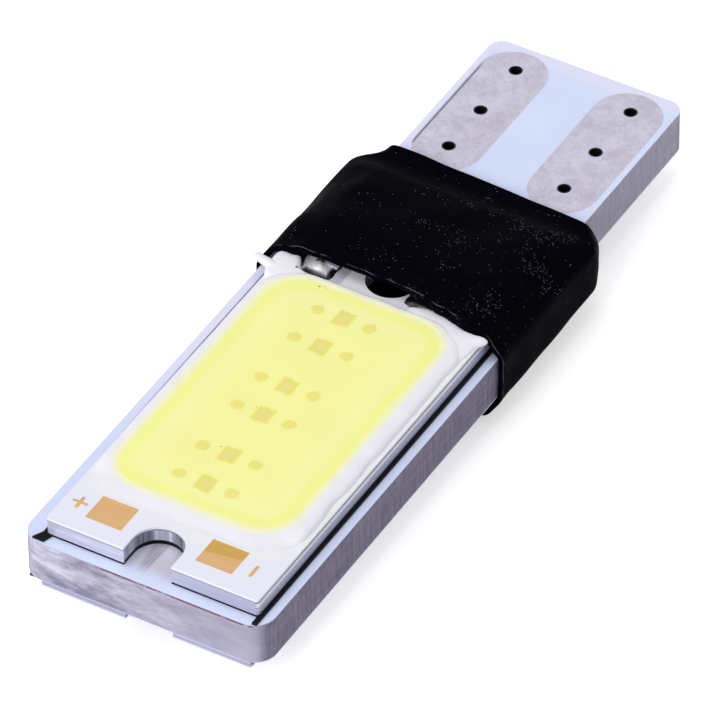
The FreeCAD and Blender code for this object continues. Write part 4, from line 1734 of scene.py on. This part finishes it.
@dataclass
class PolarityMarks:
    """A plus and a minus beside the near pads of one face."""

    face: Face
    plus: Span = (-4.17, -16.85)
    minus: Span = (4.24, -16.9)
    length: float = 0.72
    stroke: float = 0.15
    thickness: float = 0.014
    sunk: float = 0.02
    crossing: float = 0.003
    bevel_level: float = 0.6
    bevel_inset: float = 0.92

    def bar(self, middle: Span, upright: bool, extra: float = 0.0) -> Skin:
        """Raise one thin bar with round ends.

        Args:
            middle: Its middle across and along.
            upright: Whether it runs along the bulb.
            extra: Height above the plain thickness, so that crossed bars don't share a face.

        Returns:
            The bar's skin.
        """
        radius = self.stroke / 2
        loop = rounded_loop(self.length / 2, -radius, radius, corner=radius * 0.6,
                            straight=3, bend=5)
        if upright:
            loop = np.stack([-loop[:, 1], loop[:, 0]], -1)
        top = self.thickness + extra
        rings = [raised(loop * inset + np.array(middle), np.full(len(loop), COAT_TOP + level))
                 for inset, level in ((1.0, -self.sunk - extra), (1.0, top * self.bevel_level),
                                      (self.bevel_inset, top))]
        return Skin(np.stack(rings))

    def build(self, finishes: Finishes) -> None:
        """Make the three bars as one piece.

        Args:
            finishes: The bulb's finishes.
        """
        bars = [self.bar(self.plus, False), self.bar(self.plus, True, self.crossing),
                self.bar(self.minus, True)]
        make_piece(self.face.value + "_polarity_marks", bars, self.face, finishes,
                   "bare_copper", sharp_degrees=50)


@dataclass(frozen=True)
class FilmStation:
    """The bore's hull at one distance along the bulb, as its upper right quarter."""

    along: float
    side: Span
    shoulder: Span
    crown: Span

    def ring(self, columns: int) -> np.ndarray:
        """Walk the hull at even steps from its right middle.

        Args:
            columns: Number of steps.

        Returns:
            Points with X and Z from the middle plane.
        """
        quarter = [self.side, self.shoulder, self.crown]
        upper = quarter + [(-x, z) for x, z in reversed(quarter)]
        lower = [(x, -z) for x, z in reversed(upper)]
        start = (self.side[0], 0.0)
        return even_walk(np.array([start, *upper, *lower, start]), columns)


@dataclass
class ShrunkSleeve:
    """The black film sleeve, drawn tight over the driver and down onto the base."""

    wall: float = 0.22
    columns: int = 320
    rows: int = 120
    inner_rows: int = 40
    corner_blur: float = 1.6
    corner_reach: int = 6
    run_blur: Triple = (-0.3, 0.0, 0.3)
    lip: tuple[Span, ...] = (
        (-6.2, 0.7), (-5.6, 0.86), (-4.7, 0.94), (-3.9, 0.94), (0.0, 0.92), (1.45, 0.88),
        (2.8, 0.62), (3.8, 0.36), (4.45, 0.2), (5.1, 0.22), (5.6, 0.38), (6.2, 0.42))
    lip_blur: tuple[float, ...] = (-0.5, -0.25, 0.0, 0.25, 0.5)
    lip_ripple: Ripple = Ripple(size=0.04, seed=3, count=7, shortest=0.5, longest=2.2)
    lip_limit: float = -0.25
    hang: tuple[Span, ...] = (
        (-5.3, 0.0), (-4.9, 0.3), (-4.1, 0.38), (-3.7, 0.02), (1.2, 0.02), (1.5, 0.16),
        (2.6, 0.2), (3.1, 0.38), (4.4, 0.36), (5.0, 0.2), (5.5, 0.0))
    hang_reach: float = 0.5
    mouth: tuple[Span, ...] = ((0.06, 0.0), (0.3, -0.06), (0.6, -0.09), (0.86, -0.09),
                               (0.98, -0.05))
    base_half: float = 5.5
    rear_left: float = 10.2
    rear_right: float = 9.66
    rear_ripple: Ripple = Ripple(size=0.025, seed=4, count=5, shortest=1.2, longest=3.0)
    rear_bulge: float = 0.05
    rear_steps: int = 5
    dent_depth: float = 0.03
    dent_onset: float = 12.0
    sway: Ripple = Ripple(size=1.0, seed=9, count=8, shortest=1.6, longest=5.0)
    stations: tuple[FilmStation, ...] = (
        FilmStation(-1.25, (5.94, 1.09), (5.34, 2.02), (4.0, 2.45)),
        FilmStation(3.1, (5.94, 1.09), (5.34, 2.02), (4.0, 2.45)),
        FilmStation(6.04, (5.94, 1.09), (5.34, 1.57), (4.29, 2.05)),
        FilmStation(8.04, (5.94, 1.09), (5.34, 1.37), (4.29, 1.65)),
        FilmStation(8.79, (5.94, 1.09), (5.34, 1.11), (4.29, 1.13)),
        FilmStation(9.8, (5.29, 0.35), (4.79, 1.1), (4.34, 1.12)),
        FilmStation(11.0, (5.29, 0.35), (4.79, 1.1), (4.34, 1.12)),
    )

    def bore(self, along: np.ndarray) -> np.ndarray:
        """Find the bore's points at the distance that each grid point has.

        Rings of the stations, their corners rounded by a bell-shaped mean, are joined by
        straight lines, and three samples close together are averaged, so that the film
        bends softly over each station.

        Args:
            along: Distance of each grid point, a row a ring.

        Returns:
            Points with X and Z from the middle plane, on the same grid.
        """
        rings = np.stack([station.ring(self.columns) for station in self.stations])
        reach = np.arange(-self.corner_reach, self.corner_reach + 1)
        weights = np.exp(-0.5 * (reach / self.corner_blur) ** 2)
        weights /= weights.sum()
        rings = sum(w * np.roll(rings, shift, axis=1) for w, shift in zip(weights, reach))
        places = np.array([station.along for station in self.stations])
        total = np.zeros((*along.shape, 2))
        for shift in self.run_blur:
            at = np.clip(along + shift, places[0], places[-1] - 1e-6)
            index = np.searchsorted(places, at, side="right") - 1
            share = (at - places[index]) / (places[index + 1] - places[index])
            column = np.broadcast_to(np.arange(self.columns), along.shape)
            total += (rings[index, column] * (1 - share[..., None])
                      + rings[index + 1, column] * share[..., None]) / len(self.run_blur)
        return total

    def edge_lines(self) -> tuple[np.ndarray, np.ndarray]:
        """Find how far along each column starts at the mouth and ends at the base.

        Returns:
            Distance of the lip and of the rear edge for each column.
        """
        mouth, base = self.stations[0].ring(self.columns), self.stations[-1].ring(self.columns)
        knots = np.array(self.lip)
        lip = sum(np.interp(mouth[:, 0] + shift, knots[:, 0], knots[:, 1])
                  for shift in self.lip_blur) / len(self.lip_blur)
        lip = lip + self.lip_ripple.at(mouth[:, 0], mouth[:, 1])
        lean = (base[:, 0] + self.base_half) / (2 * self.base_half)
        rear = self.rear_left + lean * (self.rear_right - self.rear_left)
        rear = rear + self.rear_ripple.at(base[:, 0], base[:, 1])
        return np.maximum(lip, self.lip_limit), rear

    def skin(self) -> tuple[Skin, np.ndarray]:
        """Carry the wall's section from the mouth to the base and back through the bore.

        Each column runs out along the wall, rounds the rear edge by a half circle, comes
        back through the bore and closes round the lip. The wall stands off the bore along
        its normal, less shallow dents and the hang of the lip over the joints.

        Returns:
            The sleeve's closed skin, and the distance of each point from the lip.
        """
        lip, rear = self.edge_lines()
        turn = np.linspace(0, math.pi, self.rear_steps + 2)[1:-1]
        mouth_depth, mouth_reach = np.array(self.mouth).T
        travel = np.concatenate([np.linspace(0, 1, self.rows), np.ones(self.rear_steps),
                                 np.linspace(1, 0, self.inner_rows), np.zeros(len(self.mouth))])
        depth = np.concatenate([np.ones(self.rows), (1 + np.cos(turn)) / 2,
                                np.zeros(self.inner_rows), mouth_depth])
        reach = np.concatenate([np.zeros(self.rows), self.rear_bulge * np.sin(turn),
                                np.zeros(self.inner_rows), mouth_reach])
        along = lip + travel[:, None] * (rear - lip) + reach[:, None]
        flat = self.bore(along)
        tangent = np.roll(flat, -1, axis=1) - np.roll(flat, 1, axis=1)
        normal = np.stack([tangent[..., 1], -tangent[..., 0]], -1)
        normal /= np.linalg.norm(normal, axis=-1, keepdims=True)
        sway = np.minimum(self.sway.at(flat[..., 0] + flat[..., 1], along), 1)
        onset = np.clip(travel * (1 - travel) * self.dent_onset, 0, 1)[:, None]
        dent = self.dent_depth * (1 - sway) * onset
        knots = np.array(self.hang)
        drop = np.interp(flat[..., 0], knots[:, 0], knots[:, 1]) * (flat[..., 1] > 0)
        drop = drop * (1 - depth[:, None]) * np.clip(1 - (along - lip) / self.hang_reach, 0, 1)
        out = flat + normal * (self.wall * depth[:, None] - dent - drop)[..., None]
        rings = np.stack([out[..., 0], along, out[..., 1] + MIDDLE], -1)
        return Skin(rings, looped=True), along - lip

    def build(self, finishes: Finishes) -> None:
        """Make the sleeve in place of the plain one.

        Args:
            finishes: The bulb's finishes.
        """
        skin, from_mouth = self.skin()
        sleeve = make_piece("shrunk_sleeve", [skin], None, finishes, "black_film")
        marks = sleeve.data.attributes.new("from_mouth", "FLOAT", "POINT")
        marks.data.foreach_set("value", from_mouth.ravel())
        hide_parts("heat_shrink_sleeve")


def stand(name: str, data: bpy.types.ID, place: np.ndarray,
          axes: tuple[np.ndarray, np.ndarray, np.ndarray]) -> bpy.types.Object:
    """Stand a camera or a lamp at a place, turned to its axes.

    Args:
        name: The object's name.
        data: The camera or the lamp.
        place: Its place in metres.
        axes: Its right, up and back directions.

    Returns:
        The object.
    """
    turn = np.eye(4)
    turn[:3, :3] = np.stack(axes, -1)
    turn[:3, 3] = place
    standing = bpy.data.objects.new(name, data)
    standing.matrix_world = Matrix(turn.tolist())
    bpy.context.scene.collection.objects.link(standing)
    return standing


@dataclass
class Studio:
    """Camera, soft lights, pale surroundings and the floor."""

    focal_pixels: float = 9557.578
    picture_pixels: float = 710.0
    film_width: float = 36.0
    clips: Span = (0.01, 20.0)
    position: Triple = (155.3509, -262.5354, 271.1095)
    right: Triple = (0.8629938, 0.50514901, -0.0081349)
    down: Triple = (0.32913505, -0.57436272, -0.74951823)
    ahead: Triple = (-0.38329078, 0.64415211, -0.66193372)
    world_light: float = 0.56
    floor_size: float = 3.0
    floor_level: float = -0.00002
    floor_colour: Colour = shade(238, 238, 240)
    floor_rough: float = 0.9
    floor_shine: float = 0.1
    floor_glow: float = 0.5

    def camera(self) -> None:
        """Stand the camera where the fit of the bulb's straight edges puts it."""
        lens = bpy.data.cameras.new("camera")
        lens.sensor_width = self.film_width
        lens.lens = self.focal_pixels * self.film_width / self.picture_pixels
        lens.clip_start, lens.clip_end = self.clips
        axes = (np.array(self.right), -np.array(self.down), -np.array(self.ahead))
        bpy.context.scene.camera = stand("camera", lens, np.array(self.position) * MM, axes)

    def lamp(self, name: str, place: Triple, size: float, power: float) -> None:
        """Hang one soft square lamp that looks at the bulb.

        Args:
            name: Its name.
            place: Its place in metres.
            size: Its side in metres.
            power: Its power in watts.
        """
        light = bpy.data.lights.new(name, "AREA")
        light.shape, light.size, light.energy = "SQUARE", size, power
        back = np.array(place) / np.linalg.norm(place)
        side = np.cross([0.0, 1.0, 0.0], back)
        side /= np.linalg.norm(side)
        stand(name, light, np.array(place), (side, np.cross(back, side), back))

    def surroundings(self) -> None:
        """Light all round softly, and show plain white to the eye and through glass."""
        world = bpy.data.worlds.new("surroundings")
        world.use_nodes = True
        bpy.context.scene.world = world
        world.node_tree.nodes.clear()
        sheet = Sheet(world.node_tree)
        path = sheet.add("ShaderNodeLightPath")
        shown = sheet.most(path.outputs["Is Camera Ray"], path.outputs["Is Transmission Ray"])
        background = sheet.add("ShaderNodeBackground")
        sheet.feed(background.inputs["Color"], WHITE)
        sheet.feed(background.inputs["Strength"],
                   sheet.fade(shown, (0.0, 1.0), (self.world_light, 1.0)))
        output = sheet.add("ShaderNodeOutputWorld")
        sheet.feed(output.inputs["Surface"], background.outputs[0])

    def floor_material(self) -> bpy.types.Material:
        """Make the floor's pale finish, which glows to the eye and takes the shadow.

        Returns:
            The material.
        """
        material = bpy.data.materials.new("pale_floor")
        material.use_nodes = True
        material.node_tree.nodes.clear()
        sheet = Sheet(material.node_tree)
        shader = sheet.add("ShaderNodeBsdfPrincipled")
        path = sheet.add("ShaderNodeLightPath")
        glow = sheet.times(path.outputs["Is Camera Ray"], self.floor_glow)
        for label, value in (("Base Color", self.floor_colour), ("Roughness", self.floor_rough),
                             ("Specular IOR Level", self.floor_shine),
                             ("Emission Color", WHITE), ("Emission Strength", glow)):
            sheet.feed(shader.inputs[label], value)
        output = sheet.add("ShaderNodeOutputMaterial")
        sheet.feed(output.inputs["Surface"], shader.outputs[0])
        return material

    def floor(self) -> None:
        """Lay the pale floor under the bulb."""
        half, level = self.floor_size / 2, self.floor_level
        mesh = bpy.data.meshes.new("floor")
        mesh.from_pydata([(-half, -half, level), (half, -half, level), (half, half, level),
                          (-half, half, level)], [], [(0, 1, 2, 3)])
        floor = bpy.data.objects.new("floor", mesh)
        bpy.context.scene.collection.objects.link(floor)
        mesh.materials.append(self.floor_material())

    def build(self) -> None:
        """Set up the whole studio with plain colour handling."""
        bpy.context.scene.view_settings.view_transform = "Standard"
        self.camera()
        self.surroundings()
        self.floor()
        self.lamp("key", (-0.1, 0.0, 0.6), size=0.45, power=0.95)
        self.lamp("fill", (-0.08, -0.52, 0.26), size=0.4, power=1.95)


def main() -> None:
    """Build the bulb's looks in order."""
    logging.basicConfig(level=logging.INFO, format="%(name)s: %(message)s")
    finishes = Finishes()
    finishes.dress_nodes()
    for face in Face:
        GelPool(face).build(finishes)
        SolderHeaps(face).build(finishes)
        PolarityMarks(face).build(finishes)
    ShrunkSleeve().build(finishes)
    Studio().build()


if __name__ == "__main__":
    main()
